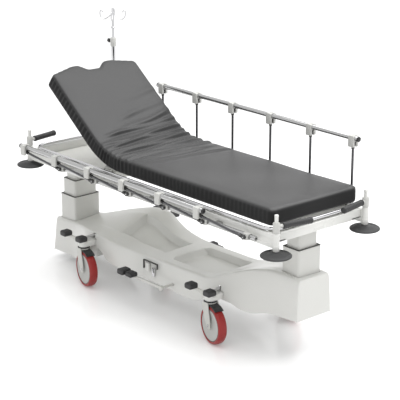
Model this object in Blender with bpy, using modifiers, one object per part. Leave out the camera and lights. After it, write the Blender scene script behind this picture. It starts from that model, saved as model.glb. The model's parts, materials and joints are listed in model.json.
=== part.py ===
# Hospital stretcher trolley: wheeled base with two telescopic columns, a litter with a
# raised backrest and mattress, two folding side rails, push handles, bumpers and a drip pole.
# Metres, +Z up, +X towards the patient's feet, -Y the patient's right side.
# The origin lies on the floor, midway between the four corner posts.
import math

import bmesh
import bpy
import numpy as np
from mathutils import Matrix, Vector

# ---- driving dimensions ----
gap = 0.0003              # left between pieces that touch
slip = 0.0006             # radial play of a pin or stem in its hole
lap = 0.004               # how far joined shapes run into each other
postSpan = 2.0            # corner post to corner post, along the litter
postWide = 0.602          # corner post to corner post, across the litter
deckTop = 0.728           # support surface under the mattress, litter at rest
wheelR = 0.100

# mattress and its support
deckThick = 0.008
deckInset = 0.039         # edge of the seat deck inside the post axes
deckFootClear = 0.064     # deck end to foot post axis
deckCorner = 0.06
mattressThick = 0.085
mattressInset = 0.006     # mattress edge inside the post axes
mattressLift = 0.001
footClear = 0.038         # mattress end to foot post axis
headClear = 0.030         # mattress shoulders to head post axis, backrest down
mattressSoft = 0.014      # rounding of the mattress edges
mattressCorner = 0.03     # rounding of its corners in plan
headTip = 0.040           # tips of the head edge beyond its shoulders
headNotch = 0.14          # width of the notch between the tips
headSlant = 0.45          # share of the half width where each diagonal corner ends

# backrest
hingeX = -0.36
hingeDrop = 0.016         # hinge line below the support surface
backAngle = math.radians(37.0)
hingeWedge = math.radians(36.5)   # each mattress end leans back this much at the hinge
hingeSpace = 0.004        # half the space between the two mattress pieces
backPanelInset = 0.051    # panel edge inside the post axes
backPanelShort = 0.030    # panel end to the mattress shoulders
backTubeInset = 0.076     # frame tube inside the post axes
backTubeR = 0.011
backBarX = -0.30
backBarR = 0.009
lugR = 0.0145
lugPinR = 0.005

# litter frame
sideRailHigh = 0.066
sideRailThick = 0.024
sideRailDrop = 0.026      # its top below the support surface
sideRailOut = 0.008       # its outer face beyond the post axes
crossHalf = 0.014         # half width of a cross member
rimR = 0.009
rimDrop = 0.0135          # rim tube axis below the support surface
rimCorner = 0.085
rimEnd = 0.035            # rim centre line to post axis, along the litter
carrierDrop = 0.091       # underside of the column plates below the support surface
carrierThick = 0.016

# corner posts, bumpers and handles
postR = 0.016
postDrop = 0.103          # post bottom below the support surface
neckDrop = 0.013          # neck bottom below the support surface
neckR = 0.010
neckHigh = 0.0885
discR = 0.076
discDrop = 0.027          # disc underside below the post
discThick = 0.012
discCone = 0.011
discHubR = 0.026
spindleR = 0.006
sleeveR = 0.0175
sleeveHigh = 0.048
gripR = 0.0165
gripLong = 0.165
gripStart = 0.034
gripNeckR = 0.009
gripTurn = math.radians(10.5)

# side rails
railOut = 0.064           # plane of the rail posts beyond the post axes
railPivotDrop = 0.060     # lower pins below the support surface
railPostLong = 0.325
railPostR = 0.0065
railPostCount = 6
railHeadInset = 0.370     # first rail post to head post axis
railFootInset = 0.155     # last rail post to foot post axis
railFold = math.radians(84.5)
railTubeR = 0.013
railTubeRise = 0.0255     # top tube axis above the top pins
railOverHead = 0.042
railOverFoot = 0.040
hubR = 0.011
pinR = 0.004
blockLong = 0.034
blockHalf = 0.016
blockSpace = 0.0006       # hub face to block
lowerBarOut = 0.034       # lower bar beyond the post axes
lowerBarR = 0.0125
lowerBarHead = 0.075
lowerBarFoot = 0.055
bracketX = (-0.45, 0.11, 0.62)
bracketHalf = 0.020
knobR = 0.011
knobLong = 0.024
knobStem = 0.03

# lifting columns
columnFootInset = 0.132   # column axis to post axis
columnHeadInset = 0.052
lowerHalf = (0.070, 0.089)
middleHalf = (0.0585, 0.077)
topHalf = (0.046, 0.0625)
stageWall = 0.010
stageFloor = 0.006
stageRound = 0.012
ramR = 0.025
ramFloor = 0.008
rodR = 0.012
ramDrop = 0.122           # ram top below the column plate
rodReach = 0.190          # how far the rod dips into the ram

# castors
wheelWide = 0.048
treadCorner = (0.010, 0.009)   # chamfer of the tread, down the side and across
discDish = 0.003          # how far the wheel's sides are dished
axleR = 0.005
trail = 0.035
castorInset = 0.0385      # swivel axis inside the post axes, across
castorFootInset = 0.505   # swivel axis to post axis, along
castorHeadInset = 0.435
castorTurn = math.radians(-12.0)
crownClear = 0.006        # wheel top to fork crown
crownThick = 0.015
crownR = 0.032
forkThick = 0.005
forkClear = 0.003
stemR = 0.010

# base frame, brakes and pump pedals
armClear = 0.0015
armHigh = 0.030
armHalf = 0.030
beamY = 0.095
beamWide = 0.040
beamHigh = 0.040
beamPastHead = 0.130      # long beams beyond the head castors
beamPastFoot = 0.100
plateHalf = 0.105         # half width of the plates round the columns
shaftRise = 0.070         # brake shaft above the wheel tops
shaftR = 0.008
earHalf = 0.016
padReach = 0.070
padHalf = 0.026
padWide = 0.056
padHigh = 0.031
padRise = 0.010           # underside of a pad above the brake shaft
padRound = 0.007
rockerHubR = 0.013
pumpX = 0.14
pumpSink = 0.014          # pump shaft below the wheel tops
pumpInset = 0.051         # pump pivot inside the post axes
pumpReach = 0.25
pumpR = 0.007
pumpBoss = 0.018

# drip pole
poleOuterR = 0.012
poleLowTop = 1.205
collarR = 0.017
collarHigh = 0.045
poleRodR = 0.0065
poleRodTop = 1.42
poleRodLow = 0.90
ringZ = 1.307
ringR = 0.013
hookZ = 1.385
hookReach = 0.075
hookR = 0.003

# moulded cover
coverWall = 0.004
coverInset = 0.086        # lower edge of the cover inside the post axes, at its widest
coverColumn = 0.038       # lower edge beyond the column, where the cover narrows
coverHeadEnd = 0.097      # end walls beyond the column axes
coverFootEnd = 0.094
coverClear = 0.0022       # round a column
holeClear = 0.003         # round an arm or a shaft

# ---- places worked out from them ----
ends = {"foot": 1, "head": -1}
sides = {"near": -1, "far": 1}
halfPost = postSpan / 2
halfWide = postWide / 2
hingeZ = deckTop - hingeDrop
backLong = halfPost + hingeX - headClear
backTubeY = halfWide - backTubeInset
frameOuter = halfWide + sideRailOut
sideRailTop = deckTop - sideRailDrop
rimZ = deckTop - rimDrop
carrierLow = deckTop - carrierDrop
postLow = deckTop - postDrop
neckLow = deckTop - neckDrop
neckTop = neckLow + neckHigh
discZ = postLow - discDrop
mattressLow = deckTop + mattressLift
mattressTop = mattressLow + mattressThick
mattressHalf = halfWide - mattressInset
railY = halfWide + railOut
railPivotZ = deckTop - railPivotDrop
lowerBarY = halfWide + lowerBarOut
railX = np.linspace(railHeadInset - halfPost, halfPost - railFootInset, railPostCount)
wheelTop = 2 * wheelR
crownLow = wheelTop + crownClear
armLow = crownLow + crownThick + armClear
armTop = armLow + armHigh
shaftZ = wheelTop + shaftRise
pumpZ = wheelTop - pumpSink
pumpY = halfWide - pumpInset
castorY = halfWide - castorInset
castorX = {"foot": halfPost - castorFootInset, "head": castorHeadInset - halfPost}
columnX = {"foot": halfPost - columnFootInset, "head": columnHeadInset - halfPost}
# lower stage: bottom and top; middle stage: rise of its bottom, top; top stage: rise of its bottom
columnHeights = {
    "foot": (wheelTop + 0.0072, wheelTop + 0.200, 0.0568, carrierLow - 0.087, 0.1128),
    "head": (wheelTop - 0.0988, wheelTop + 0.187, 0.0988, carrierLow - 0.157, 0.2188),
}
ramTop = carrierLow - ramDrop
rodLow = ramTop - rodReach

for old in list(bpy.data.objects):
    bpy.data.objects.remove(old, do_unlink=True)

parts = bpy.data.collections.new("stretcher_trolley")
helpers = bpy.data.collections.new("stretcher_trolley_cutters")
bpy.context.scene.collection.children.link(parts)
bpy.context.scene.collection.children.link(helpers)


def paint(name, colour, roughness, metallic):
    material = bpy.data.materials.new(name)
    material.use_nodes = True
    shader = material.node_tree.nodes["Principled BSDF"]
    shader.inputs["Base Color"].default_value = (*colour, 1)
    shader.inputs["Roughness"].default_value = roughness
    shader.inputs["Metallic"].default_value = metallic
    return material


whiteCoat = paint("white_coat", (0.80, 0.80, 0.77), 0.35, 0.0)
coverPlastic = paint("cover_plastic", (0.78, 0.78, 0.74), 0.4, 0.0)
columnCoat = paint("column_coat", (0.72, 0.72, 0.69), 0.3, 0.0)
steel = paint("plated_steel", (0.62, 0.62, 0.62), 0.22, 1.0)
aluminium = paint("aluminium_tube", (0.75, 0.75, 0.75), 0.3, 1.0)
blackPlastic = paint("black_plastic", (0.03, 0.03, 0.03), 0.5, 0.0)
gripRubber = paint("grip_rubber", (0.05, 0.05, 0.05), 0.65, 0.0)
redTread = paint("red_tread", (0.45, 0.03, 0.03), 0.45, 0.0)
redKnob = paint("red_knob", (0.5, 0.03, 0.05), 0.4, 0.0)
mattressCoat = paint("mattress_cover", (0.045, 0.045, 0.045), 0.5, 0.0)
darkSteel = paint("dark_steel", (0.25, 0.25, 0.25), 0.35, 1.0)


# ---- building tools ----
def pivot(name, place, turn=(0, 0, 0), parent=None):
    empty = bpy.data.objects.new(name, None)
    parts.objects.link(empty)
    empty.location = place
    empty.rotation_euler = turn
    empty.parent = parent
    return empty


def solid(name, bm, material=None, parent=None, smooth=None):
    bmesh.ops.recalc_face_normals(bm, faces=bm.faces)
    if bm.calc_volume(signed=True) < 0:
        bmesh.ops.reverse_faces(bm, faces=bm.faces)
    mesh = bpy.data.meshes.new(name)
    bm.to_mesh(mesh)
    bm.free()
    if smooth is not None:
        mesh.shade_smooth()
        mesh.set_sharp_from_angle(angle=math.radians(smooth))
    thing = bpy.data.objects.new(name, mesh)
    thing.parent = parent
    if material:
        mesh.materials.append(material)
        parts.objects.link(thing)
    else:
        helpers.objects.link(thing)
        thing.hide_render = True
        thing.display_type = "WIRE"
    return thing


def boxMesh(low, high, round=0.0, edges="all", segments=2):
    # edges: every edge is rounded, or only those along one axis
    bm = bmesh.new()
    bmesh.ops.create_cube(bm, size=1)
    low, high = Vector(low), Vector(high)
    bmesh.ops.scale(bm, verts=bm.verts, vec=high - low)
    bmesh.ops.translate(bm, verts=bm.verts, vec=(low + high) / 2)
    if round:
        chosen = list(bm.edges)
        if edges != "all":
            axis = "xyz".index(edges)
            chosen = [e for e in bm.edges if abs((e.verts[0].co - e.verts[1].co)[axis]) > 1e-6]
        bmesh.ops.bevel(bm, geom=chosen, offset=round, segments=segments, profile=0.5, affect="EDGES")
    return bm


def sideBox(side, low, high, round=0.0):
    # a box given for the far side (+Y), moved to the near side when side is -1
    if side < 0:
        low, high = (low[0], -high[1], low[2]), (high[0], -low[1], high[2])
    return boxMesh(low, high, round, "all", 1)


def rodMesh(start, end, radius, sides=12):
    start, end = Vector(start), Vector(end)
    bm = bmesh.new()
    bmesh.ops.create_cone(bm, cap_ends=True, segments=sides, radius1=radius, radius2=radius,
                          depth=(end - start).length)
    turn = (end - start).to_track_quat("Z", "Y").to_matrix().to_4x4()
    bm.transform(Matrix.Translation((start + end) / 2) @ turn)
    return bm


def boreFor(radius, sides):
    # a hole with flat sides that a turning pin clears
    return (radius + slip) / math.cos(math.pi / sides)


def crossRod(x, y, z, radius, sides=12):
    # a rod across the trolley, between two y values
    return rodMesh((x, y[0], z), (x, y[1], z), radius, sides)


def turnedMesh(profile, sides=24):
    # profile: radius and height pairs of a closed outline, or one that starts and ends on the axis
    mesh = bpy.data.meshes.new("profile")
    onAxis = profile[0][0] == 0
    count = len(profile)
    edges = [(i, (i + 1) % count) for i in range(count if not onAxis else count - 1)]
    mesh.from_pydata([(r, 0, z) for r, z in profile], edges, [])
    turned = bpy.data.objects.new("profile", mesh)
    bpy.context.scene.collection.objects.link(turned)
    screw = turned.modifiers.new("turn", "SCREW")
    screw.steps = screw.render_steps = sides
    screw.use_merge_vertices = True
    screw.merge_threshold = 0.00001
    bm = bmesh.new()
    bm.from_object(turned, bpy.context.evaluated_depsgraph_get())
    bpy.data.objects.remove(turned)
    bmesh.ops.remove_doubles(bm, verts=bm.verts, dist=0.00001)
    return bm


def tubeMesh(points, radius, closed=False, resolution=2):
    curve = bpy.data.curves.new("tube", "CURVE")
    curve.dimensions = "3D"
    curve.bevel_depth = radius
    curve.bevel_resolution = resolution
    curve.use_fill_caps = not closed
    spline = curve.splines.new("POLY")
    spline.points.add(len(points) - 1)
    for slot, point in zip(spline.points, points):
        slot.co = (*point, 1)
    spline.use_cyclic_u = closed
    thing = bpy.data.objects.new("tube", curve)
    bpy.context.scene.collection.objects.link(thing)
    evaluated = thing.evaluated_get(bpy.context.evaluated_depsgraph_get())
    mesh = bpy.data.meshes.new_from_object(evaluated)
    bpy.data.objects.remove(thing)
    bm = bmesh.new()
    bm.from_mesh(mesh)
    bmesh.ops.remove_doubles(bm, verts=bm.verts, dist=0.00001)
    return bm


def slabMesh(outline, low, high):
    # outline: x, y pairs, anticlockwise; the slab stands between two heights
    bm = bmesh.new()
    floor = [bm.verts.new((x, y, low)) for x, y in outline]
    face = bm.faces.new(floor)
    raised = bmesh.ops.extrude_face_region(bm, geom=[face])["geom"]
    lifted = [v for v in raised if isinstance(v, bmesh.types.BMVert)]
    bmesh.ops.translate(bm, verts=lifted, vec=(0, 0, high - low))
    return bm


def roundedPath(corners, radius, closed=True, steps=5):
    # each corner becomes an arc of the given radius in the plane of its two sides
    path = []
    count = len(corners)
    for i, corner in enumerate(corners):
        here = Vector(corner)
        if not closed and i in (0, count - 1):
            path.append(here)
            continue
        back = (Vector(corners[i - 1]) - here).normalized()
        on = (Vector(corners[(i + 1) % count]) - here).normalized()
        half = back.angle(on) / 2
        centre = here + (back + on).normalized() * radius / math.sin(half)
        start = here + back * radius / math.tan(half) - centre
        end = here + on * radius / math.tan(half) - centre
        sweep = start.angle(end)
        for k in range(steps + 1):
            t = k / steps
            reach = start * math.sin((1 - t) * sweep) + end * math.sin(t * sweep)
            path.append(centre + reach / math.sin(sweep))
    return path


def boolean(target, tool, operation):
    change = target.modifiers.new(operation.lower(), "BOOLEAN")
    change.operation = operation
    change.solver = "EXACT"
    change.object = tool


def fuse(name, meshes, material, parent=None, cuts=(), smooth=None):
    body = solid(name, meshes[0], material, parent, smooth)
    for number, bm in enumerate(meshes[1:]):
        boolean(body, solid(f"{name}_joined_{number}", bm, None, parent), "UNION")
    for number, bm in enumerate(cuts):
        boolean(body, solid(f"{name}_cut_{number}", bm, None, parent), "DIFFERENCE")
    return body


# ---- base ----
def makeChassis():
    beamLow = wheelTop - beamHigh
    bossEnd = beamY + 0.055
    meshes = []
    cuts = []
    for side in sides.values():
        meshes.append(sideBox(side, (castorX["head"] - beamPastHead, beamY - beamWide / 2, beamLow),
                              (castorX["foot"] + beamPastFoot, beamY + beamWide / 2, wheelTop)))
        meshes.append(sideBox(side, (pumpX - pumpBoss, beamY + 2 * lap, beamLow + lap),
                              (pumpX + pumpBoss, bossEnd, wheelTop + 3 * lap)))
        reach = (side * (beamY + beamWide / 2 + 0.002), side * (bossEnd + 0.015))
        cuts.append(crossRod(pumpX, reach, pumpZ, boreFor(pumpR, 8), 8))
    # plates round the columns, and the step up to the foot one
    rear = columnX["head"] - lowerHalf[0] - 0.012
    front = columnX["foot"] + lowerHalf[0] - lap
    step = castorX["foot"] + 0.055
    meshes.append(boxMesh((rear, -plateHalf, wheelTop - 0.102),
                          (castorX["head"] - 0.09, plateHalf, wheelTop - 0.036)))
    meshes.append(boxMesh((step, -plateHalf - 0.007, beamLow - 0.002),
                          (step + 0.065, plateHalf + 0.007, wheelTop + 0.0325)))
    meshes.append(boxMesh((step + 0.035, -plateHalf + 0.007, wheelTop + 0.0068),
                          (front, plateHalf - 0.007, wheelTop + 0.0335)))
    saddle = beamY + beamWide / 2 - lap
    for x in castorX.values():
        meshes.append(boxMesh((x - armHalf, -castorY, armLow), (x + armHalf, castorY, armTop)))
        meshes.append(boxMesh((x - armHalf + lap, -saddle, beamLow + 0.02),
                              (x + armHalf - lap, saddle, armLow + 3 * lap)))
        for side in sides.values():
            y = side * castorY
            meshes.append(rodMesh((x, y, armLow - slip), (x, y, armTop + slip), armHalf - 0.001, 12))
            cuts.append(rodMesh((x, y, armLow - 0.01), (x, y, armTop + 0.01), boreFor(stemR, 10), 10))
            meshes.append(sideBox(side, (x - earHalf, beamY + 0.010, armTop - lap),
                                  (x + earHalf, beamY + 0.022, shaftZ + 0.013)))
        cuts.append(crossRod(x, (-0.2, 0.2), shaftZ, boreFor(shaftR, 8), 8))
    half = (lowerHalf[0] + gap, lowerHalf[1] + gap)
    for x in columnX.values():
        cuts.append(boxMesh((x - half[0], -half[1], 0.0), (x + half[0], half[1], armTop + 0.05),
                            stageRound + gap, "z", 3))
    fuse("chassis_frame", meshes, whiteCoat, cuts=cuts)


# The cover is drawn for these places and heights, then stretched to the real ones.
drawnX = (-0.948, -0.565, 0.495, 0.868)
drawnWheelTop = 0.200
coverStations = (-1.035, -0.86, -0.79, -0.73, -0.68, -0.62, -0.50, -0.452, -0.432, -0.35,
                 -0.26, -0.18, -0.082, -0.062, 0.03, 0.05, 0.20, 0.34, 0.378, 0.398, 0.45, 0.55,
                 0.64, 0.70, 0.77, 0.87, 0.952)
# place along the trolley, then: lower edge between column width (0) and full width (1)
lowShare = ((-1.04, 0.0), (-0.86, 0.06), (-0.74, 0.43), (-0.66, 0.83), (-0.40, 1.0), (0.45, 1.0),
            (0.60, 0.89), (0.68, 0.55), (0.76, 0.10), (0.86, 0.0), (0.96, -0.12))
# how far the shoulders stand in from the lower edge
shoulderInset = ((0.45, 0.027), (0.58, 0.046), (0.68, 0.043), (0.76, 0.020))
# heights of the lower edge and of the near and far shoulders
lowEdge = ((-1.04, 0.046), (-0.79, 0.055), (-0.73, 0.085), (-0.69, 0.160), (-0.64, 0.214),
           (-0.48, 0.214), (-0.43, 0.165), (-0.37, 0.150), (0.0, 0.158), (0.32, 0.145),
           (0.36, 0.160), (0.41, 0.214), (0.59, 0.228), (0.65, 0.180), (0.70, 0.182),
           (0.76, 0.203), (0.96, 0.205))
nearShoulder = ((-1.04, 0.240), (-0.86, 0.248), (-0.64, 0.286), (-0.49, 0.284), (-0.40, 0.270),
                (0.0, 0.282), (0.36, 0.290), (0.45, 0.312), (0.55, 0.362), (0.65, 0.398),
                (0.76, 0.422), (0.85, 0.424), (0.96, 0.411))
farShoulder = ((-1.04, 0.240), (-0.86, 0.262), (-0.66, 0.326), (-0.50, 0.372), (-0.37, 0.388),
               (-0.31, 0.372), (-0.25, 0.320), (-0.15, 0.294), (0.0, 0.284), (0.36, 0.290),
               (0.45, 0.312), (0.60, 0.356), (0.76, 0.402), (0.85, 0.412), (0.96, 0.411))
# each tray: where it starts and ends, its sides in from the shoulders, its depth
trays = ((-0.44, -0.07, 0.110, 0.045), (0.04, 0.39, 0.070, 0.035))
coverRound = 0.016        # shoulder to flat top
traySlope = 0.012


def along(x, table):
    return float(np.interp(x, [p[0] for p in table], [p[1] for p in table]))


def stretched(x):
    # the ends move with the columns, the middle with the castors
    real = (columnX["head"], castorX["head"], castorX["foot"], columnX["foot"])
    inside = min(max(x, drawnX[0]), drawnX[-1])
    return float(np.interp(inside, drawnX, real)) + x - inside


def coverSection(x):
    widest = halfWide - coverInset
    narrow = lowerHalf[1] + coverColumn
    lowHalf = narrow + along(x, lowShare) * (widest - narrow)
    ridgeHalf = lowHalf - along(x, shoulderInset)
    low = along(x, lowEdge)
    near = along(x, nearShoulder)
    far = along(x, farShoulder)
    trayHalf = ridgeHalf / 2
    trayDeep = 0.0
    for start, end, inset, deep in trays:
        if start < x < end:
            trayHalf = ridgeHalf - inset
            trayDeep = deep
    # half widths and shares of the height, up one side
    wall = ((lowHalf, 0.0), (ridgeHalf + 0.012, 0.84), (ridgeHalf, 1.0))
    left = [(-y, low + t * (near - 0.006 - low)) for y, t in wall]
    right = [(y, low + t * (far - 0.006 - low)) for y, t in reversed(wall)]
    top = ridgeHalf - coverRound
    middle = []
    for y in (-top, -trayHalf - traySlope, -trayHalf, trayHalf, trayHalf + traySlope, top):
        share = (y + ridgeHalf) / (2 * ridgeHalf)
        share = share * share * (3 - 2 * share)
        deck = near + share * (far - near)
        middle.append((y, deck - (trayDeep if abs(y) <= trayHalf else 0)))
    rise = wheelTop - drawnWheelTop
    return [(y, z + rise) for y, z in left + middle + right]


def makeCover():
    rows = [[(stretched(x), y, z) for y, z in coverSection(x)] for x in coverStations]
    headWall = columnX["head"] - coverHeadEnd
    footWall = columnX["foot"] + coverFootEnd
    rows.insert(0, [(headWall, y, rows[0][0][2]) for x, y, z in rows[0]])
    rows.append([(footWall, y, rows[-1][0][2]) for x, y, z in rows[-1]])
    bm = bmesh.new()
    grid = [[bm.verts.new(point) for point in row] for row in rows]
    for a, b in zip(grid, grid[1:]):
        for j in range(len(a) - 1):
            bm.faces.new((a[j], b[j], b[j + 1], a[j + 1]))
    # the quads are slightly twisted, and flat faces cut cleanly
    bmesh.ops.triangulate(bm, faces=bm.faces)
    mesh = bpy.data.meshes.new("base_cover")
    bm.to_mesh(mesh)
    bm.free()
    mesh.materials.append(coverPlastic)
    cover = bpy.data.objects.new("base_cover", mesh)
    parts.objects.link(cover)
    wall = cover.modifiers.new("wall", "SOLIDIFY")
    wall.thickness = coverWall
    wall.offset = -1
    cuts = []
    for end, stage, low in (("foot", middleHalf, 0.13), ("head", lowerHalf, -0.02)):
        x = columnX[end]
        half = (stage[0] + coverClear, stage[1] + coverClear)
        cuts.append(boxMesh((x - half[0], -half[1], wheelTop + low),
                            (x + half[0], half[1], wheelTop + 0.3), stageRound + 0.001, "z"))
    across = (-halfWide, halfWide)
    for x in castorX.values():
        half = armHalf + holeClear
        cuts.append(boxMesh((x - half, across[0], wheelTop - 0.07),
                            (x + half, across[1], armTop + holeClear)))
        cuts.append(crossRod(x, across, shaftZ, shaftR + holeClear, 8))
    cuts.append(crossRod(pumpX, across, pumpZ, pumpR + holeClear, 8))
    for number, tool in enumerate(cuts):
        boolean(cover, solid(f"base_cover_cut_{number}", tool), "DIFFERENCE")


def stageMesh(x, half, low, high):
    return boxMesh((x - half[0], -half[1], low), (x + half[0], half[1], high), stageRound, "z", 3)


def stageBore(x, half, low, high):
    inner = (half[0] - stageWall, half[1] - stageWall)
    return boxMesh((x - inner[0], -inner[1], low), (x + inner[0], inner[1], high), stageRound / 2, "z", 2)


def makeColumn(end):
    x = columnX[end]
    lowBottom, lowTop, middleRise, middleTop, topRise = columnHeights[end]
    past = 0.05
    fuse(f"{end}_column_lower_stage", [stageMesh(x, lowerHalf, lowBottom, lowTop)], columnCoat,
         cuts=[stageBore(x, lowerHalf, lowBottom + stageFloor, lowTop + past)])
    middleLow = lowBottom + middleRise
    slide = pivot(f"{end}_middle_slide", (x, 0, 0))
    fuse(f"{end}_column_middle_stage", [stageMesh(0, middleHalf, middleLow, middleTop)], columnCoat, slide,
         cuts=[stageBore(0, middleHalf, middleLow - past, middleTop + past)])
    topLow = lowBottom + topRise
    stageTop = carrierLow - gap
    slide = pivot(f"{end}_top_slide", (x, 0, 0))
    name = f"{end}_column_top_stage"
    # the bore is cut before the ram's rod is joined, which runs down the middle of it
    stage = solid(name, stageMesh(0, topHalf, topLow, stageTop), columnCoat, slide)
    bore = stageBore(0, topHalf, topLow - past, stageTop - stageWall)
    boolean(stage, solid(f"{name}_cut", bore, None, slide), "DIFFERENCE")
    rod = rodMesh((0, 0, rodLow), (0, 0, stageTop - 0.002), rodR, 16)
    boolean(stage, solid(f"{name}_rod", rod, None, slide), "UNION")
    base = lowBottom + stageFloor + gap
    fuse(f"{end}_lift_cylinder", [rodMesh((x, 0, base), (x, 0, ramTop), ramR, 20)], darkSteel,
         cuts=[rodMesh((x, 0, base + ramFloor), (x, 0, ramTop + past), rodR + slip, 16)])


def forkOutline():
    # one leg seen from the side: wide at the crown, round the axle at the bottom
    shoulder = wheelR * 1.5
    boss = 0.017
    bossCut = 0.007
    return [(-0.024, crownLow + 2 * lap), (-0.012, shoulder), (trail - boss, wheelR - 0.008),
            (trail - bossCut, wheelR - 0.019), (trail + bossCut, wheelR - 0.019),
            (trail + boss, wheelR - 0.008), (0.040, shoulder), (0.026, crownLow + 2 * lap)]


def makeCastor(end, sideName):
    name = f"{end}_{sideName}"
    place = (castorX[end], sides[sideName] * castorY, 0)
    swivel = pivot(f"{name}_castor_swivel", place, (0, 0, castorTurn))
    half = wheelWide / 2
    legInner = half + forkClear
    legOuter = legInner + forkThick
    crownTop = crownLow + crownThick
    crown = [(0, crownTop), (crownR - 0.006, crownTop), (crownR, crownLow), (0, crownLow)]
    meshes = [turnedMesh(crown, 12), rodMesh((0, 0, crownLow + lap), (0, 0, armTop - 0.001), stemR, 10)]
    for low, high in ((-legOuter, -legInner), (legInner, legOuter)):
        leg = slabMesh(forkOutline(), low, high)
        leg.transform(Matrix.Rotation(math.pi / 2, 4, "X") @ Matrix.Scale(-1, 4, (0, 0, 1)))
        meshes.append(leg)
    axleHalf = legOuter + 0.003
    meshes.append(crossRod(trail, (-axleHalf, axleHalf), wheelR, axleR, 8))
    fuse(f"{name}_castor_fork", meshes, whiteCoat, swivel, smooth=30)
    axle = pivot(f"{name}_wheel_axle", (trail, 0, wheelR), (0, 0, 0), swivel)
    tread = half - treadCorner[1]
    shoulder = wheelR - treadCorner[0]
    face = [(axleR + slip, half), (0.022, half), (0.030, half - discDish), (shoulder, half), (wheelR, tread)]
    outline = face + [(r, -h) for r, h in reversed(face)]
    wheel = turnedMesh(outline, 20)
    wheel.transform(Matrix.Rotation(math.pi / 2, 4, "X"))
    solid(f"{name}_castor_wheel", wheel, redTread, axle, 30)


def makeBrakes(end):
    rocker = pivot(f"{end}_brake_rocker", (castorX[end], 0, shaftZ))
    reach = castorY - 0.002
    barIn = castorY + 0.038
    barOut = barIn + 0.012
    solid(f"{end}_brake_shaft", crossRod(0, (-reach, reach), 0, shaftR, 6), steel, rocker)
    for sideName, side in sides.items():
        hub = (side * (reach + gap), side * (barOut + 0.006))
        meshes = [crossRod(0, hub, 0, rockerHubR, 10)]
        meshes.append(sideBox(side, (-padReach, barIn, -0.007), (padReach, barOut, padRise + lap)))
        for x in (-padReach, padReach):
            padIn = barIn - 0.002
            meshes.append(sideBox(side, (x - padHalf, padIn, padRise),
                                  (x + padHalf, padIn + padWide, padRise + padHigh), padRound))
        fuse(f"{end}_{sideName}_brake_pedal", meshes, blackPlastic, rocker)


def makePumpPedal(sideName):
    side = sides[sideName]
    lever = pivot(f"{sideName}_pump_lever", (pumpX, side * pumpY, pumpZ))
    inner = beamY + beamWide / 2 + 0.004 - pumpY
    barIn = 0.034
    barOut = 0.044
    meshes = [crossRod(0, (side * inner, side * (barOut + 0.002)), 0, pumpR, 10)]
    meshes.append(sideBox(side, (-pumpReach + 0.03, barIn, -0.007), (2 * pumpR, barOut, 0.009)))
    meshes.append(sideBox(side, (-pumpReach - 0.06, barIn - lap, 0.005),
                          (-pumpReach + 0.05, barIn + 0.058, 0.036), padRound))
    fuse(f"{sideName}_pump_pedal", meshes, blackPlastic, lever)


# ---- litter ----
def postProfile():
    # neck for the handle on top, spindle for the bumper disc below
    foot = discZ - 0.006
    return [(0, neckTop), (neckR, neckTop), (neckR, neckLow), (postR, neckLow), (postR, postLow),
            (spindleR, postLow), (spindleR, foot), (0, foot)]


def makeLitter():
    sideRailLow = sideRailTop - sideRailHigh
    inner = frameOuter - sideRailThick + 0.006
    railEnd = halfPost - postR / 2
    meshes = []
    for side in sides.values():
        meshes.append(sideBox(side, (-railEnd, frameOuter - sideRailThick, sideRailLow),
                              (railEnd, frameOuter, sideRailTop)))
    # cross members: place, then underside and top below the support surface
    crossEnd = halfPost - 0.030
    heights = ((crossEnd, 0.073, 0.0285), (-crossEnd, 0.073, 0.0285), (hingeX + 0.045, 0.068, 0.0268))
    for x, low, high in heights:
        meshes.append(boxMesh((x - crossHalf, -inner, deckTop - low), (x + crossHalf, inner, deckTop - high)))
    plateEdge = inner + 0.002
    for x in columnX.values():
        half = topHalf[0] + lap
        meshes.append(boxMesh((x - half, -plateEdge, carrierLow),
                              (x + half, plateEdge, carrierLow + carrierThick)))
    for x in (-halfPost, halfPost):
        for y in (-halfWide, halfWide):
            post = turnedMesh(postProfile(), 12)
            bmesh.ops.translate(post, verts=post.verts, vec=(x, y, 0))
            meshes.append(post)
    reach = halfPost - rimEnd
    rimY = halfWide - 0.006
    corners = [(reach, -rimY, rimZ), (reach, rimY, rimZ), (-reach, rimY, rimZ), (-reach, -rimY, rimZ)]
    meshes.append(tubeMesh(roundedPath(corners, rimCorner, True, 4), rimR, True))
    standOff = (0.015, 0.005)
    for x in np.linspace(0.25 - halfPost, halfPost - 0.25, 6):
        for side in sides.values():
            meshes.append(sideBox(side, (x - standOff[0], rimY - standOff[1], sideRailTop - lap),
                                  (x + standOff[0], rimY + standOff[1], rimZ - 0.002)))
    # hinge cheeks on the cross member, with a pin into each backrest lug
    for side in sides.values():
        y = side * (backTubeY + 0.030)
        meshes.append(boxMesh((hingeX - 0.014, y - 0.005, hingeZ - 0.0215),
                              (hingeX + 0.040, y + 0.005, hingeZ + 0.0075)))
        pin = (y - side * 0.003, side * (backTubeY + 0.002))
        meshes.append(crossRod(hingeX, pin, hingeZ, lugPinR))
    fuse("litter_frame", meshes, whiteCoat)


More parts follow.
